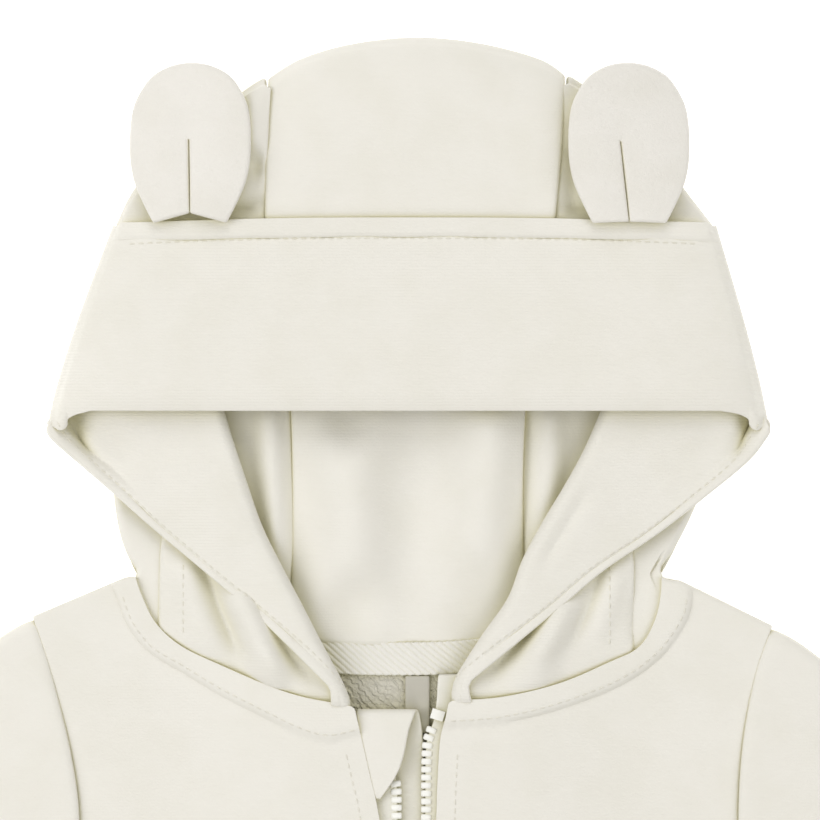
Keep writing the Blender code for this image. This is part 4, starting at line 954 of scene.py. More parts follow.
def edge_distance(grid, column):
    """Distance along each row from the given column."""
    steps = np.linalg.norm(np.diff(grid, axis=1), axis=-1)
    along = np.concatenate([np.zeros((len(grid), 1)), np.cumsum(steps, axis=1)], axis=1)
    return abs(along - along[:, column : column + 1 or None])


def crease(grid, folds):
    """Raises a grid along each fold's curve, or sinks it where its rise is negative."""
    for fold in folds:
        line = spline(fold.curve, CREASE_POINTS)
        far = distance_left_of(grid, line)
        ends = np.minimum(
            np.linalg.norm(grid[..., :2] - line[0], axis=-1),
            np.linalg.norm(grid[..., :2] - line[-1], axis=-1),
        )
        length = np.sum(steps_of(line))
        fade = smooth_step(ends / (CREASE_EASE * length))
        grid[..., 2] += fold.rise * fade * np.exp(-((2 * far / fold.width) ** 2))


def groove(grid, far, cut):
    """Sinks a grid where its distance to an edge is near the groove's."""
    grid[..., 2] -= cut.depth * np.exp(-(((far - cut.at) / cut.width) ** 2))


def smoothed(grid):
    """Heights of a grid replaced by the bent plane that fits them best."""
    x, y, z = grid.reshape(-1, 3).T
    terms = np.column_stack([np.ones_like(x), x, y, x * x, x * y, y * y])
    return (terms @ np.linalg.lstsq(terms, z, rcond=None)[0]).reshape(grid.shape[:2])


def bunched(grid, count, power):
    """The grid with count columns that crowd together towards its last one."""
    places = (1 - (1 - np.linspace(0.0, 1.0, count)) ** power) * (grid.shape[1] - 1)
    low = np.minimum(places.astype(int), grid.shape[1] - 2)
    share = (places - low)[None, :, None]
    return (1 - share) * grid[:, low] + share * grid[:, low + 1]


def refined(grid, columns, rows):
    """A grid's plan laid out again between its four edges."""
    plan = grid[..., :2]
    first_row, last_row = spread(plan[0], columns), spread(plan[-1], columns)
    return patch_between(
        first_row, last_row, spread(plan[:, 0], rows), spread(plan[:, -1], rows)
    )


# ---- stitches, teeth and small rigid pieces ----

STITCH_PITCH, STITCH_LENGTH = 2.7, 2.1
STITCH_RADIUS, STITCH_SIDES = 0.2, 6
STITCH_LIFT = 0.05  # middle of a row above the cloth
# Along the stitch, thickness and how deep its middle is sunk, as shares.
STITCH_PROFILE = [
    (-1.0, 0.45, 1.5),
    (-0.7, 0.9, 0.5),
    (0.0, 1.0, 0.2),
    (0.7, 0.9, 0.5),
    (1.0, 0.45, 1.5),
]
RAY_START = 1.0  # metres above the table

TOOTH_PITCH = 2.4
TOOTH_WAY = 0.5  # the zip's direction is read this far before and after a tooth
# Across the row: offset from its middle, away from the other row, half the length
# along the zip and half the height.
TOOTH_PROFILE = [
    (-1.65, 0.55, 0.60),
    (-1.5, 0.82, 0.80),
    (-1.2, 0.92, 0.95),
    (1.0, 0.92, 0.90),
    (1.4, 0.86, 0.70),
    (1.6, 0.60, 0.45),
]
# Round each of those sections, as shares of its half length and half height.
TOOTH_CORNERS = [
    (1, 0.55), (0.7, 1), (-0.7, 1), (-1, 0.55),
    (-1, -0.55), (-0.7, -1), (0.7, -1), (1, -0.55),
]


def on_top(points, piece):
    """Points of a plan dropped on a piece from above, in millimetres."""
    graph = bpy.context.evaluated_depsgraph_get()
    tree = BVHTree.FromObject(piece, graph)
    found = []
    for x, y in np.asarray(points)[:, :2]:
        start = Vector((x * MM, y * MM, RAY_START))
        place = tree.ray_cast(start, Vector((0, 0, -1)))[0]
        if place is not None:
            found.append((x, y, place.z / MM + STITCH_LIFT))
    return np.array(found)


def rod(shell, rings):
    """Adds a closed solid from rings of points in millimetres."""
    rings = [[shell.verts.new(point * MM) for point in ring] for ring in rings]
    skin(shell, rings, closed=True)
    shell.faces.new(rings[0][::-1])
    shell.faces.new(rings[-1])


def fixed(name, shell, look):
    """A small piece that is fixed to the garment."""
    bmesh.ops.recalc_face_normals(shell, faces=shell.faces)
    body = new_object(name, shell, look)
    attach(body, "garment")
    return body


def stitches(name, lines, look):
    """A row of short threads along each line, their ends sunk in the cloth."""
    shell = bmesh.new()
    half = STITCH_LENGTH / 2
    for line in lines:
        whole = steps_of(line).sum()
        for middle in np.arange(STITCH_PITCH / 2, whole - STITCH_PITCH / 2, STITCH_PITCH):
            ends = at_lengths(line, [middle - half, middle, middle + half])
            way = ends[2] - ends[0]
            way /= np.linalg.norm(way)
            side = np.cross(way, (0.0, 0.0, 1.0))
            side /= np.linalg.norm(side)
            up = np.cross(side, way)
            rings = []
            for along, swell, sink in STITCH_PROFILE:
                centre = ends[1] + way * along * STITCH_LENGTH / 2 - up * sink * STITCH_RADIUS
                ring = []
                for step in range(STITCH_SIDES):
                    angle = 2 * math.pi * step / STITCH_SIDES
                    spoke = side * math.cos(angle) + up * math.sin(angle)
                    ring.append(centre + spoke * STITCH_RADIUS * swell)
                rings.append(ring)
            rod(shell, rings)
    return fixed(name, shell, look)


def teeth(name, line, side, look):
    """Moulded teeth along a line, each a block on the tape and a rounded head."""
    shell = bmesh.new()
    whole = steps_of(line).sum()
    for along in np.arange(TOOTH_PITCH / 2, whole, TOOTH_PITCH):
        places = [along - TOOTH_WAY, along, along + TOOTH_WAY]
        before, here, after = at_lengths(line, places)
        way = (after - before)[:2] / np.linalg.norm((after - before)[:2])
        out = np.array([-way[1], way[0]]) * side
        rings = []
        for offset, half_y, half_z in TOOTH_PROFILE:
            centre = np.array([*(here[:2] + out * offset), here[2]])
            ring = []
            for u, v in TOOTH_CORNERS:
                ring.append(centre + np.array([*(way * half_y * u), half_z * v]))
            rings.append(ring)
        rod(shell, rings)
    return fixed(name, shell, look)


def rounded(body, width, segments):
    soften = body.modifiers.new("soften", "BEVEL")
    soften.width = width * MM
    soften.segments = segments


# ---- materials ----

# Painted shade: cloth is coloured warmer and darker in its hollows, where ambient occlusion
# finds them.
PAINTED_SHADE_REACH, PAINTED_SHADE_FROM, PAINTED_SHADE_TO = 14.0, 0.25, 0.85
PAINTED_SHADE_TINT = (0.91, 0.89, 0.66)
# Tint for finishes that get no painted shade in hollows.
NO_PAINTED_SHADE = (1.0, 1.0, 1.0)  # the same colour in hollows
PAINTED_SHADE_SAMPLES = 8
PATCH_SIZE, PATCH_DETAIL = 14.0, 4.0  # of soft uneven colour
PATCH_FROM, PATCH_TO = 0.35, 0.6
GRAIN_DETAIL = 3.0
RIB_DETAIL = 2.0
WAVE_FACTOR = 20.0  # radians of Blender's wave texture for each unit of its scale

Ribs = namedtuple("Ribs", "direction pitch height distortion")  # regular rows
Grain = namedtuple("Grain", "size height")  # irregular detail
CREAM, CREAM_SHADE = (0.69, 0.667, 0.588), (0.675, 0.652, 0.568)
# A finish's last field is the tint of its painted shade in hollows.
Finish = namedtuple(
    "Finish",
    "colour shade ribs grain roughness sheen tint",  # shade is its colour in patches
    defaults=((), (), 0.9, 0.25, PAINTED_SHADE_TINT),
)
HARD = {"roughness": 0.35, "sheen": 0.0, "tint": NO_PAINTED_SHADE}
TERRY = [Grain(0.9, 0.3), Grain(0.4, 0.15)]
FLUFF = [Grain(0.6, 0.15), Grain(1.6, 0.15)]
FINISHES = {
    "fleece": Finish(CREAM, CREAM_SHADE, [Ribs("Y", 0.9, 0.015, 1.5)], [Grain(0.7, 0.07)]),
    "band": Finish(CREAM, CREAM_SHADE, [Ribs("Y", 0.9, 0.035, 1.5)], [Grain(0.7, 0.07)]),
    # The inside is darker and yellower than the fleece: partly the terry's own tone, partly
    # painted shade for the hollow behind the neck.
    "inside": Finish(
        (0.58, 0.555, 0.465), (0.53, 0.505, 0.41), [Ribs("DIAGONAL", 1.3, 0.35, 6.0)], TERRY
    ),
    "ear": Finish((0.69, 0.665, 0.595), (0.67, 0.645, 0.57), grain=FLUFF, sheen=0.35),
    "tape": Finish((0.70, 0.68, 0.61), (0.68, 0.66, 0.59), [Ribs("X", 0.6, 0.03, 0.0)]),
    # The label's dark grey colour is painted shade for the shadow it lies in.
    "label": Finish((0.45, 0.43, 0.36), (0.43, 0.41, 0.34), [Ribs("Y", 0.3, 0.02, 0.0)]),
    "zip_tape": Finish((0.70, 0.68, 0.60), (0.68, 0.66, 0.58), [Ribs("Y", 0.5, 0.03, 0.0)]),
    "teeth": Finish((0.81, 0.80, 0.73), (0.80, 0.79, 0.72), **HARD),
    "thread": Finish((0.66, 0.635, 0.55), (0.64, 0.615, 0.53), grain=[Grain(0.2, 0.03)]),
    "metal": Finish((0.70, 0.68, 0.61), (0.69, 0.67, 0.60), **HARD),
}
FLOOR_FINISH = Finish((0.97,) * 3, (0.96,) * 3, sheen=0.0, tint=NO_PAINTED_SHADE)


def material(name, finish):
    """The colour varies in soft patches and is multiplied by a tint in hollows, as painted
    shade that ambient occlusion places.
    """
    made = bpy.data.materials.new(name)
    made.use_nodes = True
    nodes, links = made.node_tree.nodes, made.node_tree.links
    shader = nodes["Principled BSDF"]
    shader.inputs["Roughness"].default_value = finish.roughness
    shader.inputs["Sheen Weight"].default_value = finish.sheen
    shader.inputs["Sheen Roughness"].default_value = 0.5
    shader.inputs["Specular IOR Level"].default_value = 0.25
    place = nodes.new("ShaderNodeTexCoord").outputs["Object"]

    def noise(size, detail):
        texture = nodes.new("ShaderNodeTexNoise")
        texture.inputs["Scale"].default_value = 1 / (size * MM)
        texture.inputs["Detail"].default_value = detail
        links.new(place, texture.inputs["Vector"])
        return texture.outputs["Fac"]

    def widened(value, low, high):
        """A value that runs from low to high as one that runs from 0 to 1."""
        scaled = nodes.new("ShaderNodeMapRange")
        scaled.inputs["From Min"].default_value = low
        scaled.inputs["From Max"].default_value = high
        links.new(value, scaled.inputs["Value"])
        return scaled.outputs["Result"]

    def mixed(first, share):
        """A mix from a colour to what is linked to its second input."""
        mix = nodes.new("ShaderNodeMix")
        mix.data_type = "RGBA"
        mix.inputs["A"].default_value = (*first, 1.0)
        links.new(share, mix.inputs["Factor"])
        return mix

    patchy = widened(noise(PATCH_SIZE, PATCH_DETAIL), PATCH_FROM, PATCH_TO)
    patches = mixed(finish.shade, patchy)
    patches.inputs["B"].default_value = (*finish.colour, 1.0)
    # Painted shade: the colour is mixed towards a darker, warmer copy where ambient occlusion
    # finds hollows.
    painted_shade_ao = nodes.new("ShaderNodeAmbientOcclusion")
    painted_shade_ao.samples = PAINTED_SHADE_SAMPLES
    painted_shade_ao.inputs["Distance"].default_value = PAINTED_SHADE_REACH * MM
    painted_shade_colour = [share * part for share, part in zip(finish.tint, finish.colour)]
    painted_shade_mix = mixed(painted_shade_colour, widened(painted_shade_ao.outputs["AO"], PAINTED_SHADE_FROM, PAINTED_SHADE_TO))
    links.new(patches.outputs["Result"], painted_shade_mix.inputs["B"])
    links.new(painted_shade_mix.outputs["Result"], shader.inputs["Base Color"])

    relief = [(noise(detail.size, GRAIN_DETAIL), detail.height) for detail in finish.grain]
    for rows in finish.ribs:
        wave = nodes.new("ShaderNodeTexWave")
        wave.bands_direction = rows.direction
        scale = 2 * math.pi / (WAVE_FACTOR * rows.pitch * MM)
        wave.inputs["Scale"].default_value = scale
        wave.inputs["Distortion"].default_value = rows.distortion
        wave.inputs["Detail Scale"].default_value = RIB_DETAIL
        links.new(place, wave.inputs["Vector"])
        relief.append((wave.outputs["Fac"], rows.height))
    target = shader.inputs["Normal"]
    for value, height in reversed(relief):
        bump = nodes.new("ShaderNodeBump")
        bump.inputs["Distance"].default_value = height * MM
        links.new(value, bump.inputs["Height"])
        links.new(bump.outputs["Normal"], target)
        target = bump.inputs["Normal"]
    return made


# ---- folds and seams of the jacket ----

ENDS = (("left", LEFT), ("right", RIGHT))
GUIDE = 60  # points of a line that guides a fold or a row of stitches

Fold = namedtuple("Fold", "curve width rise")
Groove = namedtuple("Groove", "at width depth")

# Fronts: columns that crowd towards the zip, and a raised facing round the neck.
FRONT_FINE_COLUMNS, FRONT_CROWDING = 80, 1.6
RIDGE_RISE, RIDGE_STEP = 1.5, 1.8
RIDGE_GROOVE = Groove(0.9, 0.5, 0.25)
RIDGE_EDGE = {
    LEFT: path(
        (-87.0, 80.5), (-84.9, 75.0), (-81.9, 67.5), (-75.9, 60.0), (-66.9, 54.6),
        (-54.9, 47.4), (-42.9, 41.4), (-30.9, 35.7), (-21.9, 33.6), (-11.0, 36.0),
    ),
    RIGHT: path(
        (85.5, 80.5), (86.1, 75.0), (84.6, 69.0), (77.1, 58.5), (65.1, 50.1),
        (47.1, 43.2), (29.1, 39.0), (10.0, 37.5),
    ),
}

# Shoulders, moved up beyond FROM_X and above FROM_Y.
SHOULDER_LIFT = 1.5
SHOULDER_FROM_X, SHOULDER_EASE_X = 79.0, 5.0
SHOULDER_FROM_Y, SHOULDER_EASE_Y = 40.0, 25.0

# Crown of the side panels, moved up beside the centre panel.
CROWN_LIFT, CROWN_EASE, CROWN_FROM_Y = 1.7, 14.0, 205.0
CROWN_SEAM_X = {LEFT: -41.5, RIGHT: 49.5}
TURN_COLUMNS = 2  # of the side panels' outer turn, which have no folds
CROWN_ROWS = 2  # of the centre panel below its turn at the crown, which have none

EAR_PUFF = 0.7
EAR_PUFF_FROM, EAR_PUFF_TO = 0.1, 0.9  # shares of half a wave
EAR_WALL = EAR * 0.8

# Band: its folded sides bulge out beside the corners.
BAND_CROWDING = 1.5
BAND_BULGE = {LEFT: 1.7, RIGHT: 1.0}
BULGE_POWER, BULGE_RUN = 0.6, 14.0
# The seam allowance is raised along the band's seam on top, with an uneven groove.
STRIP_RISE, STRIP_EASE = 0.5, 0.8
STRIP_GROOVE = Groove(STRIP_WIDTH - 0.4, 0.5, 0.5)
STITCH_WAVE, WAVE_RUNS = 0.35, (7.0, 17.0)
# Its ends at the neck sink, its turned edge is a thick rim beside a valley, and its
# front edge on top rolls in.
TIP_ROWS, TIP_DROP = 5, 1.8
RIM_WIDTH, RIM_TOP, RIM_RUN, RIM_EASE = 4.6, 8.6, 40.0, 1.2
VALLEY_DEPTH = {LEFT: 2.8, RIGHT: 1.8}
VALLEY_FROM_RIM, VALLEY_WIDTH = 2.2, 3.2
SWELL_RISE, SWELL_RUN = 1.5, 40.0
EDGE_GROWTH = 0.9
ROLL_DROP, ROLL_RUN = 1.6, 7.0
FRONT_STITCH = 3.6  # from the turned edge
FRONT_GROOVE = Groove(FRONT_STITCH, 0.7, 0.6)
FRONT_ROWS = 2  # rows past the sections that still have the groove and the folds

# Soft folds on the outside of the band, by the neck.
BAND_FOLDS = [
    Fold([(-68.0, 92.0), (-63.0, 74.0), (-55.0, 56.0)], 7.0, 2.2),
    Fold([(-62.0, 92.0), (-54.5, 72.0), (-46.0, 51.0)], 6.5, -2.6),
    Fold([(-53.0, 84.0), (-44.0, 66.0), (-34.0, 47.0)], 8.0, 6.0),
    Fold([(-44.0, 68.0), (-32.0, 55.0), (-21.0, 46.5)], 5.5, -2.2),
    Fold([(65.0, 90.0), (62.0, 76.0), (56.0, 60.0)], 7.0, 1.8),
    Fold([(61.0, 88.0), (55.0, 73.0), (47.0, 57.0)], 6.0, -1.6),
    Fold([(52.0, 80.0), (45.0, 66.0), (36.0, 51.0)], 8.0, 4.6),
    Fold([(42.0, 72.0), (31.0, 58.0), (19.0, 47.5)], 6.0, -2.2),
    Fold([(69.9, 78.0), (70.2, 70.0), (70.2, 62.0)], 2.5, -1.6),
]
# The same on the part of it that is turned back.
TURNED_FOLDS = [
    Fold([(58.0, 112.0), (49.0, 97.0), (40.0, 83.0)], 4.0, -1.0),
    Fold([(-101.0, 131.0), (-90.0, 124.0), (-78.0, 113.0)], 12.0, -2.2),
    Fold([(98.0, 128.0), (88.0, 118.0), (78.0, 108.0)], 10.0, -0.8),
    Fold([(-70.0, 128.0), (-60.0, 108.0), (-46.0, 86.0)], 14.0, 1.0),
]
# Inside of the hood.
CENTRE_FOLDS = [
    Fold([(26.0, 150.0), (25.0, 110.0), (19.0, 70.0)], 22.0, 7.0),
    Fold([(-18.0, 132.0), (-15.0, 98.0), (-17.0, 70.0)], 24.0, 7.5),
]
# Side panels: below on the table and on top. Their lower sides have none.
SIDE_FOLDS = {
    LEFT: [
        [Fold([(-41.0, 145.0), (-39.0, 110.0), (-37.0, 76.0)], 6.0, 5.0)],
        [
            Fold([(-45.0, 234.0), (-46.0, 221.0), (-45.0, 204.0)], 12.0, 4.0),
            Fold([(-43.5, 214.0), (-43.5, 202.0), (-44.5, 188.0)], 6.0, -1.2),
            Fold([(-58.0, 192.0), (-50.0, 191.5), (-42.0, 191.5)], 5.0, -2.0),
        ],
    ],
    RIGHT: [
        [Fold([(44.0, 145.0), (43.0, 110.0), (40.0, 78.0)], 7.0, 4.0)],
        [
            Fold([(51.0, 214.0), (51.0, 202.0), (50.5, 188.0)], 6.0, -1.6),
            Fold([(60.0, 192.0), (54.0, 191.0), (47.0, 191.0)], 5.0, -2.0),
        ],
    ],
}


def raised_shoulders(grids):
    """Moves the shoulders up a little, to where the photographed outline is."""
    for grid in grids:
        x, y = grid[..., 0], grid[..., 1]
        beside = smooth_step((abs(x) - SHOULDER_FROM_X) / SHOULDER_EASE_X)
        above = smooth_step((y - SHOULDER_FROM_Y) / SHOULDER_EASE_Y)
        grid[..., 1] += SHOULDER_LIFT * beside * above
    return grids


def body_pieces(looks):
    """Back, fronts and sleeves. Those that get stitches are returned."""
    made = {}
    fleece = looks["fleece"]
    cloth("back_panel", raised_shoulders(back()), FLEECE, looks["inside"], "back")
    for end, side in ENDS:
        (grid,) = raised_shoulders(front(side))
        grid = bunched(grid, FRONT_FINE_COLUMNS, FRONT_CROWDING)
        above = -side * distance_left_of(grid, spline(RIDGE_EDGE[side], GUIDE))
        grid[..., 2] += RIDGE_RISE * smooth_step(above / RIDGE_STEP + 0.5)
        groove(grid, above, RIDGE_GROOVE)
        node = f"front_{end}"
        made[node] = cloth(f"front_panel_{end}", [grid], FLEECE, fleece, node)
        tube = raised_shoulders(sleeve(side))
        node = f"sleeve_{end}"
        made[node] = cloth(f"sleeve_tube_{end}", tube, FLEECE, fleece, node, ring=True)
    return made


def hood_pieces(looks):
    """Centre panel, side panels and ears."""
    fleece = looks["fleece"]
    (grid,) = hood_centre()
    crease(grid[: CENTRE_ROWS - CROWN_ROWS], CENTRE_FOLDS)
    cloth("hood_centre_panel", [grid], FLEECE, fleece, "hood_centre")
    for end, side in ENDS:
        grids = hood_side(side)
        for grid in grids:
            x, y = grid[..., 0], grid[..., 1]
            near = smooth_step(1 - abs(x - CROWN_SEAM_X[side]) / CROWN_EASE)
            above = smooth_step((y - CROWN_FROM_Y) / CROWN_EASE)
            grid[..., 1] += CROWN_LIFT * near * above
        for grid, folds in zip(grids, SIDE_FOLDS[side]):
            crease(grid[:, TURN_COLUMNS:], folds)
        cloth(f"hood_side_panel_{end}", grids, FLEECE, fleece, f"hood_side_{end}")
        (grid,) = ear(side)
        shares = np.linspace(EAR_PUFF_FROM, EAR_PUFF_TO, EAR_COLUMNS)
        grid[..., 2] = smoothed(grid) + np.sin(math.pi * shares) * EAR_PUFF
        cloth(f"ear_cloth_{end}", [grid], EAR_WALL, looks["ear"], f"ear_{end}")


def bulged_sides(grid):
    """Moves the band's folded sides out, most between its corner and its seam."""
    for side in (LEFT, RIGHT):
        x, y = side * grid[..., 0], grid[..., 1]
        low, high = BAND_CORNER[side], BAND_TOP_END[side]
        share = (y - low.y) / (high.y - low.y)
        inside = side * (low.x + share * (high.x - low.x)) - x
        bulge = np.sin(math.pi * np.clip(share, 0.0, 1.0) ** BULGE_POWER)
        near = smooth_step(1 - inside / BULGE_RUN) * (x > 0)
        grid[..., 0] += side * BAND_BULGE[side] * bulge * near


def shape_top(grid):
    """Raised seam allowance along the band's seam on top, with an uneven groove."""
    strip = edge_distance(grid, 0)
    grid[..., 2] += STRIP_RISE * smooth_step((STRIP_WIDTH - strip) / STRIP_EASE)
    x = grid[..., 0]
    wave = STITCH_WAVE * np.sin(x / WAVE_RUNS[0]) * np.sin(x / WAVE_RUNS[1])
    groove(grid, strip + wave, STRIP_GROOVE)


def shape_corners(grid, above):
    """A thick rim and a valley beside the corners, and a swell above them.

    above is 1 for the band's rows on top, 0 for its sides and between in its turns.
    """
    turned = np.arange(grid.shape[1]) > FLAT_CELLS + FOLD_CELLS
    beside = turned * (1 - above)
    from_edge = edge_distance(grid, -1)
    rim = smooth_step((RIM_WIDTH - from_edge) / RIM_EASE + 0.5)
    from_valley = from_edge - RIM_WIDTH - VALLEY_FROM_RIM
    valley = np.exp(-((from_valley / VALLEY_WIDTH) ** 2))
    for side in (LEFT, RIGHT):
        reach = np.linalg.norm(grid[..., :2] - np.array(BAND_CORNER[side]), axis=-1)
        close = smooth_step(1 - reach / RIM_RUN) * beside
        grid[..., 2] += np.maximum(RIM_TOP - grid[..., 2], 0.0) * rim * close
        grid[..., 2] -= VALLEY_DEPTH[side] * valley * close
        grid[..., 2] += SWELL_RISE * above * smooth_step(1 - reach / SWELL_RUN)
    way = grid[:, -1] - grid[:, -2]
    way[:, 2] = 0.0
    way /= np.linalg.norm(way, axis=1)[:, None]
    grid[:, -1] += way * EDGE_GROWTH * (1 - above)


def band_piece(look):
    """The hood's front band with its folds."""
    (grid,) = hood_band()
    back_from = FLAT_CELLS + FOLD_CELLS
    grid[:, back_from:] = bunched(grid[:, back_from:], BACK_CELLS + 1, BAND_CROWDING)
    bulged_sides(grid)
    top = slice(SECTION_ROWS + TURN_CELLS, SECTION_ROWS + TURN_CELLS + TOP_ROWS)
    shape_top(grid[top])
    for tip in (grid[:TIP_ROWS], grid[::-1][:TIP_ROWS]):
        tip[:, FLAT_CELLS + 1 :, 2] -= np.linspace(TIP_DROP, 0.0, TIP_ROWS)[:, None]
    above = np.zeros((len(grid), 1))
    above[top] = 1.0
    above[SECTION_ROWS : top.start, 0] = np.linspace(0.0, 1.0, TURN_CELLS + 1)[:-1]
    above[top.stop : -SECTION_ROWS, 0] = np.linspace(1.0, 0.0, TURN_CELLS + 1)[1:]
    shape_corners(grid, above)
    far = edge_distance(grid[top], -1)
    grid[top][..., 2] -= ROLL_DROP * np.clip(1 - far / ROLL_RUN, 0.0, 1.0) ** 2
    count = SECTION_ROWS + FRONT_ROWS
    for rows in (slice(0, count), slice(-count, None)):
        groove(grid[rows], edge_distance(grid[rows], -1), FRONT_GROOVE)
        crease(grid[rows, : FLAT_CELLS + 1], BAND_FOLDS)
        crease(grid[rows, back_from + 1 :], TURNED_FOLDS)
    grid[..., 2] = np.maximum(grid[..., 2], BAND / 2 + TABLE_GAP)
    return cloth("hood_front_band", [grid], BAND, look, "hood_band")


# ---- tapes, zip and stitches of the jacket ----

TAPE_COLUMNS, TAPE_ROWS = 230, 22
TAPE_SLANT, RIB_PITCH, RIB_RISE = -12.0, 2.4, 0.26  # the tape's woven ribs
LABEL_COLUMNS, LABEL_ROWS = 10, 20

ZIP_TAPE_WALL = TAPE * 0.8
# Across a zip's tape, from the middle of its teeth outwards.
ZIP_TAPE_OFFSETS = (-0.4, 0.4, 1.2, 2.2, 3.2, 5.0, 7.0, 9.0, 9.8)
TEETH_POINTS = 400
TEETH_TOP = {LEFT: 21.5, RIGHT: 37.5}
STOP_X, STOP_Y, STOP_RISE = 10.4, 40.4, 0.3
STOP_SIZE, STOP_TURN = (3.9, 3.0, 2.2), -0.3
STOP_ROUND, STOP_SEGMENTS = 0.5, 3
METAL_ROUND, METAL_SEGMENTS = 0.25, 2

LONG_LINE = 300  # points of the longest rows of stitches
WAY_CELLS = 5  # the turned edge's direction is read this far inside it
SHORTEST = 0.01  # no direction is divided by less
BAND_STITCH_ROWS = slice(1, -3)  # clear of the neck and of the corner
STRIP_STITCH = STRIP_WIDTH - 0.1  # from the band's seam on top
STRIP_STITCH_POINTS = slice(8, -8)
RIDGE_STITCH_START = 3
EDGE_STITCH = 5.6  # from the fronts' edges along the zip
EDGE_STITCH_TOP, EDGE_STITCH_END = 30.0, 4.0  # its top, and its end above the hem
HEM_STITCH = 20.0  # from the hem and from the cuffs
HEM_STITCH_OUT, HEM_STITCH_IN = 3.0, 9.0  # from the side seam and from the middle
CUFF_POINTS = 40
BESIDE_SEAM = {
    LEFT: path((-66.0, 86.0), (-66.0, 63.0)),
    RIGHT: path((62.1, 86.0), (62.1, 60.0)),
}


def neck_pieces(looks):
    """The tape and the label inside the back of the neck."""
    (grid,) = neck_tape()
    tape = with_height(refined(grid, TAPE_COLUMNS, TAPE_ROWS), TAPE_LAYER)
    slant = np.linspace(0.0, TAPE_SLANT, TAPE_ROWS)[:, None]
    tape[..., 2] += RIB_RISE * np.sin(2 * math.pi * (tape[..., 0] + slant) / RIB_PITCH)
    cloth("neck_tape_strip", [tape], TAPE, looks["tape"], "neck_tape", rounds=0)
    (grid,) = label()
    bare = with_height(refined(grid, LABEL_COLUMNS, LABEL_ROWS), TAPE_LAYER)
    cloth("bare_label", [bare], TAPE, looks["label"], "label")


def zip_pieces(looks):
    """Tapes, teeth, the stop at the neck, the strip behind, slider and pull."""
    for end, side in ENDS:
        middle = zip_line(side)
        offsets = side * np.array(ZIP_TAPE_OFFSETS)
        tape = np.stack([middle + (offset, 0.0, 0.0) for offset in offsets], axis=1)
        cloth(f"zip_tape_{end}", [tape], ZIP_TAPE_WALL, looks["zip_tape"], f"zip_{end}")
        line = spread(middle, TEETH_POINTS)
        shown = line[line[:, 1] < TEETH_TOP[side]]
        row = teeth(f"zip_teeth_{end}", shown, side, looks["teeth"])
        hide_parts(f"zip_{end}")
    stop = bmesh.new()
    bmesh.ops.create_cube(stop, size=1.0)
    block = new_object("zip_top_stop", stop, looks["teeth"])
    block.scale = [size * MM for size in STOP_SIZE]
    block.location = (STOP_X * MM, STOP_Y * MM, (ZIP_LAYER + STOP_RISE) * MM)
    block.rotation_euler.z = STOP_TURN
    rounded(block, STOP_ROUND, STOP_SEGMENTS)
    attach(block, "garment")
    cloth("zip_underlap_strip", zip_underlap(), TAPE, looks["fleece"], "zip_underlap")
    for node in ("zip_slider", "zip_pull"):
        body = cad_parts[node]
        body.data.materials.clear()
        body.data.materials.append(looks["metal"])
        rounded(body, METAL_ROUND, METAL_SEGMENTS)


def band_edge_line(side):
    """Plan of the stitches along the turned edge of the band."""
    lines = band_side(side)
    edge = np.array([line[-1, :2] for line in lines])
    way = np.array([line[-1 - WAY_CELLS, :2] for line in lines]) - edge
    way /= np.maximum(np.linalg.norm(way, axis=1), SHORTEST)[:, None]
    return spread((edge + way * FRONT_STITCH)[BAND_STITCH_ROWS], FINE)


def front_lines(side):
    """Plans of the stitches along the raised facing and along the zip."""
    facing = inset(spline(RIDGE_EDGE[side], GUIDE), -side * RIDGE_GROOVE.at)
    edge = inset(spline(FRONT_EDGE[side], GUIDE), side * EDGE_STITCH)
    edge = np.vstack([edge, [(edge[-1, 0], HEM_Y + EDGE_STITCH_END)]])
    edge = edge[edge[:, 1] < EDGE_STITCH_TOP]
    return spread(facing[RIDGE_STITCH_START:], FINE), spread(edge, LONG_LINE)


def cuff_line(side):
    """Plan of the stitches across a sleeve, above its cuff."""
    ends = np.array([SLEEVE_OUTER[-1], SLEEVE_INNER[-1]]) * (side, 1.0)
    way = np.array([SLEEVE_OUTER[-2], SLEEVE_INNER[-2]]) * (side, 1.0) - ends
    way /= np.linalg.norm(way, axis=1)[:, None]
    return straight(*(ends + way * HEM_STITCH), CUFF_POINTS)[1:-1]


def seams(band, body, thread):
    """Topstitching on the band, round the neck, down the fronts, at hem and cuffs."""
    lines = [on_top(band_edge_line(side), band) for _, side in ENDS]
    stitches("band_edge_stitches", lines, thread)
    strip = spline(BAND_SEAM, LONG_LINE)
    strip[:, 1] -= STRIP_STITCH
    strip = on_top(strip[STRIP_STITCH_POINTS], band)
    stitches("band_strip_stitches", [strip], thread)
    for end, side in ENDS:
        panel = body[f"front_{end}"]
        lines = [on_top(line, panel) for line in front_lines(side)]
        stitches(f"neck_stitches_{end}", lines, thread)
        hem_y = HEM_Y + HEM_STITCH
        hem_out, hem_in = side * (HEM_HALF - HEM_STITCH_OUT), side * HEM_STITCH_IN
        hem = on_top(straight((hem_out, hem_y), (hem_in, hem_y), GUIDE), panel)
        cuff = on_top(cuff_line(side), body[f"sleeve_{end}"])
        stitches(f"hem_stitches_{end}", [hem, cuff], thread)
        beside = on_top(straight(*BESIDE_SEAM[side], GUIDE), band)
        stitches(f"band_seam_stitches_{end}", [beside], thread)


# ---- floor, light and camera ----

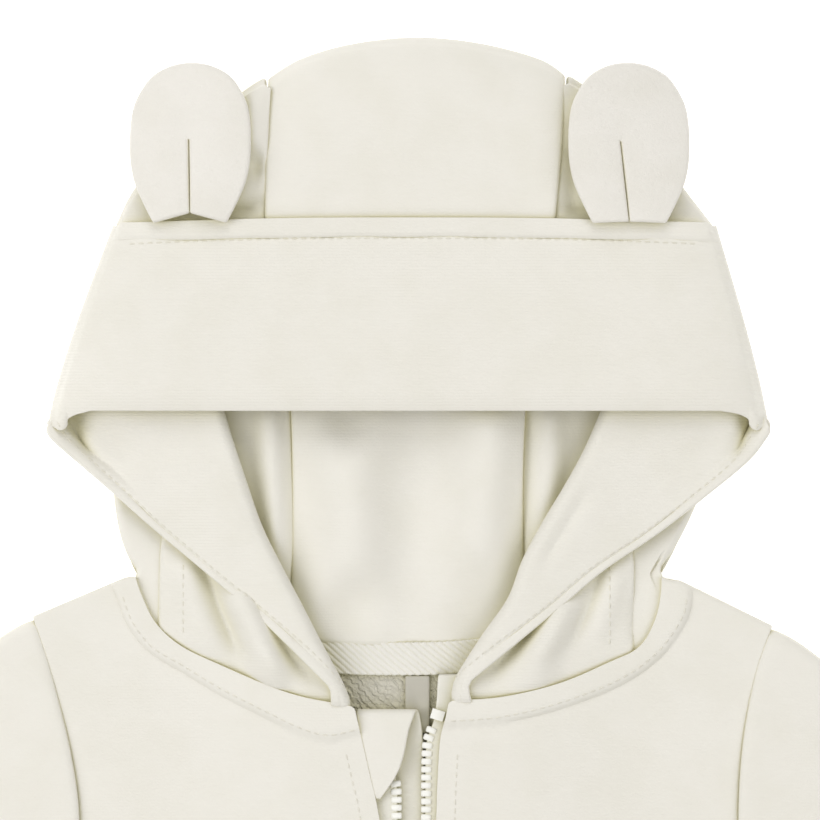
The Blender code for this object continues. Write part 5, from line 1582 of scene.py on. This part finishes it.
FLOOR_REACH, FLOOR_DROP = 3.0, 0.1  # its half width in metres, and how far it lies low
FLOOR_GLOW = 0.5
WHITE = (1.0, 1.0, 1.0, 1.0)
WORLD_LIGHT = 0.35
Softbox = namedtuple("Softbox", "name x y z size energy")  # metres and watts
SOFTBOXES = [
    Softbox("softbox_left", -1.1, 0.15, 0.9, 0.9, 11.4),
    Softbox("softbox_right", 1.1, 0.15, 0.9, 0.9, 6.5),
    Softbox("softbox_crown", 0.0, 1.25, 0.9, 0.9, 7.5),
    Softbox("softbox_hem", 0.0, -1.0, 0.9, 0.9, 6.5),
]
LAMP_COLOUR = (0.99, 0.99, 1.03)
LAMP_AIM = (0.0, 0.1, 0.0)
SENSOR, LENS = 36.0, 200.0
# Middle of the view, its width at the height of the hood, and that height.
VIEW_X, VIEW_Y, VIEW_WIDTH, VIEW_LEVEL = 2.1, 132.0, 246.0, 8.0


def stage():
    """Floor, light and the camera straight above the photographed part."""
    scene = bpy.context.scene
    floor = bmesh.new()
    bmesh.ops.create_grid(floor, x_segments=1, y_segments=1, size=FLOOR_REACH)
    ground = new_object("floor", floor, material("floor", FLOOR_FINISH))
    ground.location.z = -FLOOR_DROP * MM
    shader = ground.data.materials[0].node_tree.nodes["Principled BSDF"]
    shader.inputs["Emission Color"].default_value = WHITE
    shader.inputs["Emission Strength"].default_value = FLOOR_GLOW
    world = scene.world = bpy.data.worlds.new("studio")
    world.use_nodes = True
    background = world.node_tree.nodes["Background"]
    background.inputs["Color"].default_value = WHITE
    background.inputs["Strength"].default_value = WORLD_LIGHT
    for box in SOFTBOXES:
        lamp = bpy.data.lights.new(box.name, "AREA")
        lamp.shape = "SQUARE"
        lamp.size = box.size
        lamp.energy = box.energy
        lamp.color = LAMP_COLOUR
        light = bpy.data.objects.new(box.name, lamp)
        light.location = (box.x, box.y, box.z)
        aim = Vector(LAMP_AIM) - light.location
        light.rotation_euler = aim.to_track_quat("-Z", "Y").to_euler()
        scene.collection.objects.link(light)
    lens = bpy.data.cameras.new("camera")
    lens.sensor_width, lens.lens = SENSOR, LENS
    camera = bpy.data.objects.new("camera", lens)
    reach = VIEW_WIDTH * MM * LENS / SENSOR
    camera.location = (VIEW_X * MM, VIEW_Y * MM, reach + VIEW_LEVEL * MM)
    scene.collection.objects.link(camera)
    scene.camera = camera
    scene.view_settings.view_transform = "Standard"


def main():
    looks = {name: material(name, finish) for name, finish in FINISHES.items()}
    body = body_pieces(looks)
    hood_pieces(looks)
    band = band_piece(looks["band"])
    neck_pieces(looks)
    zip_pieces(looks)
    seams(band, body, looks["thread"])
    stage()


main()
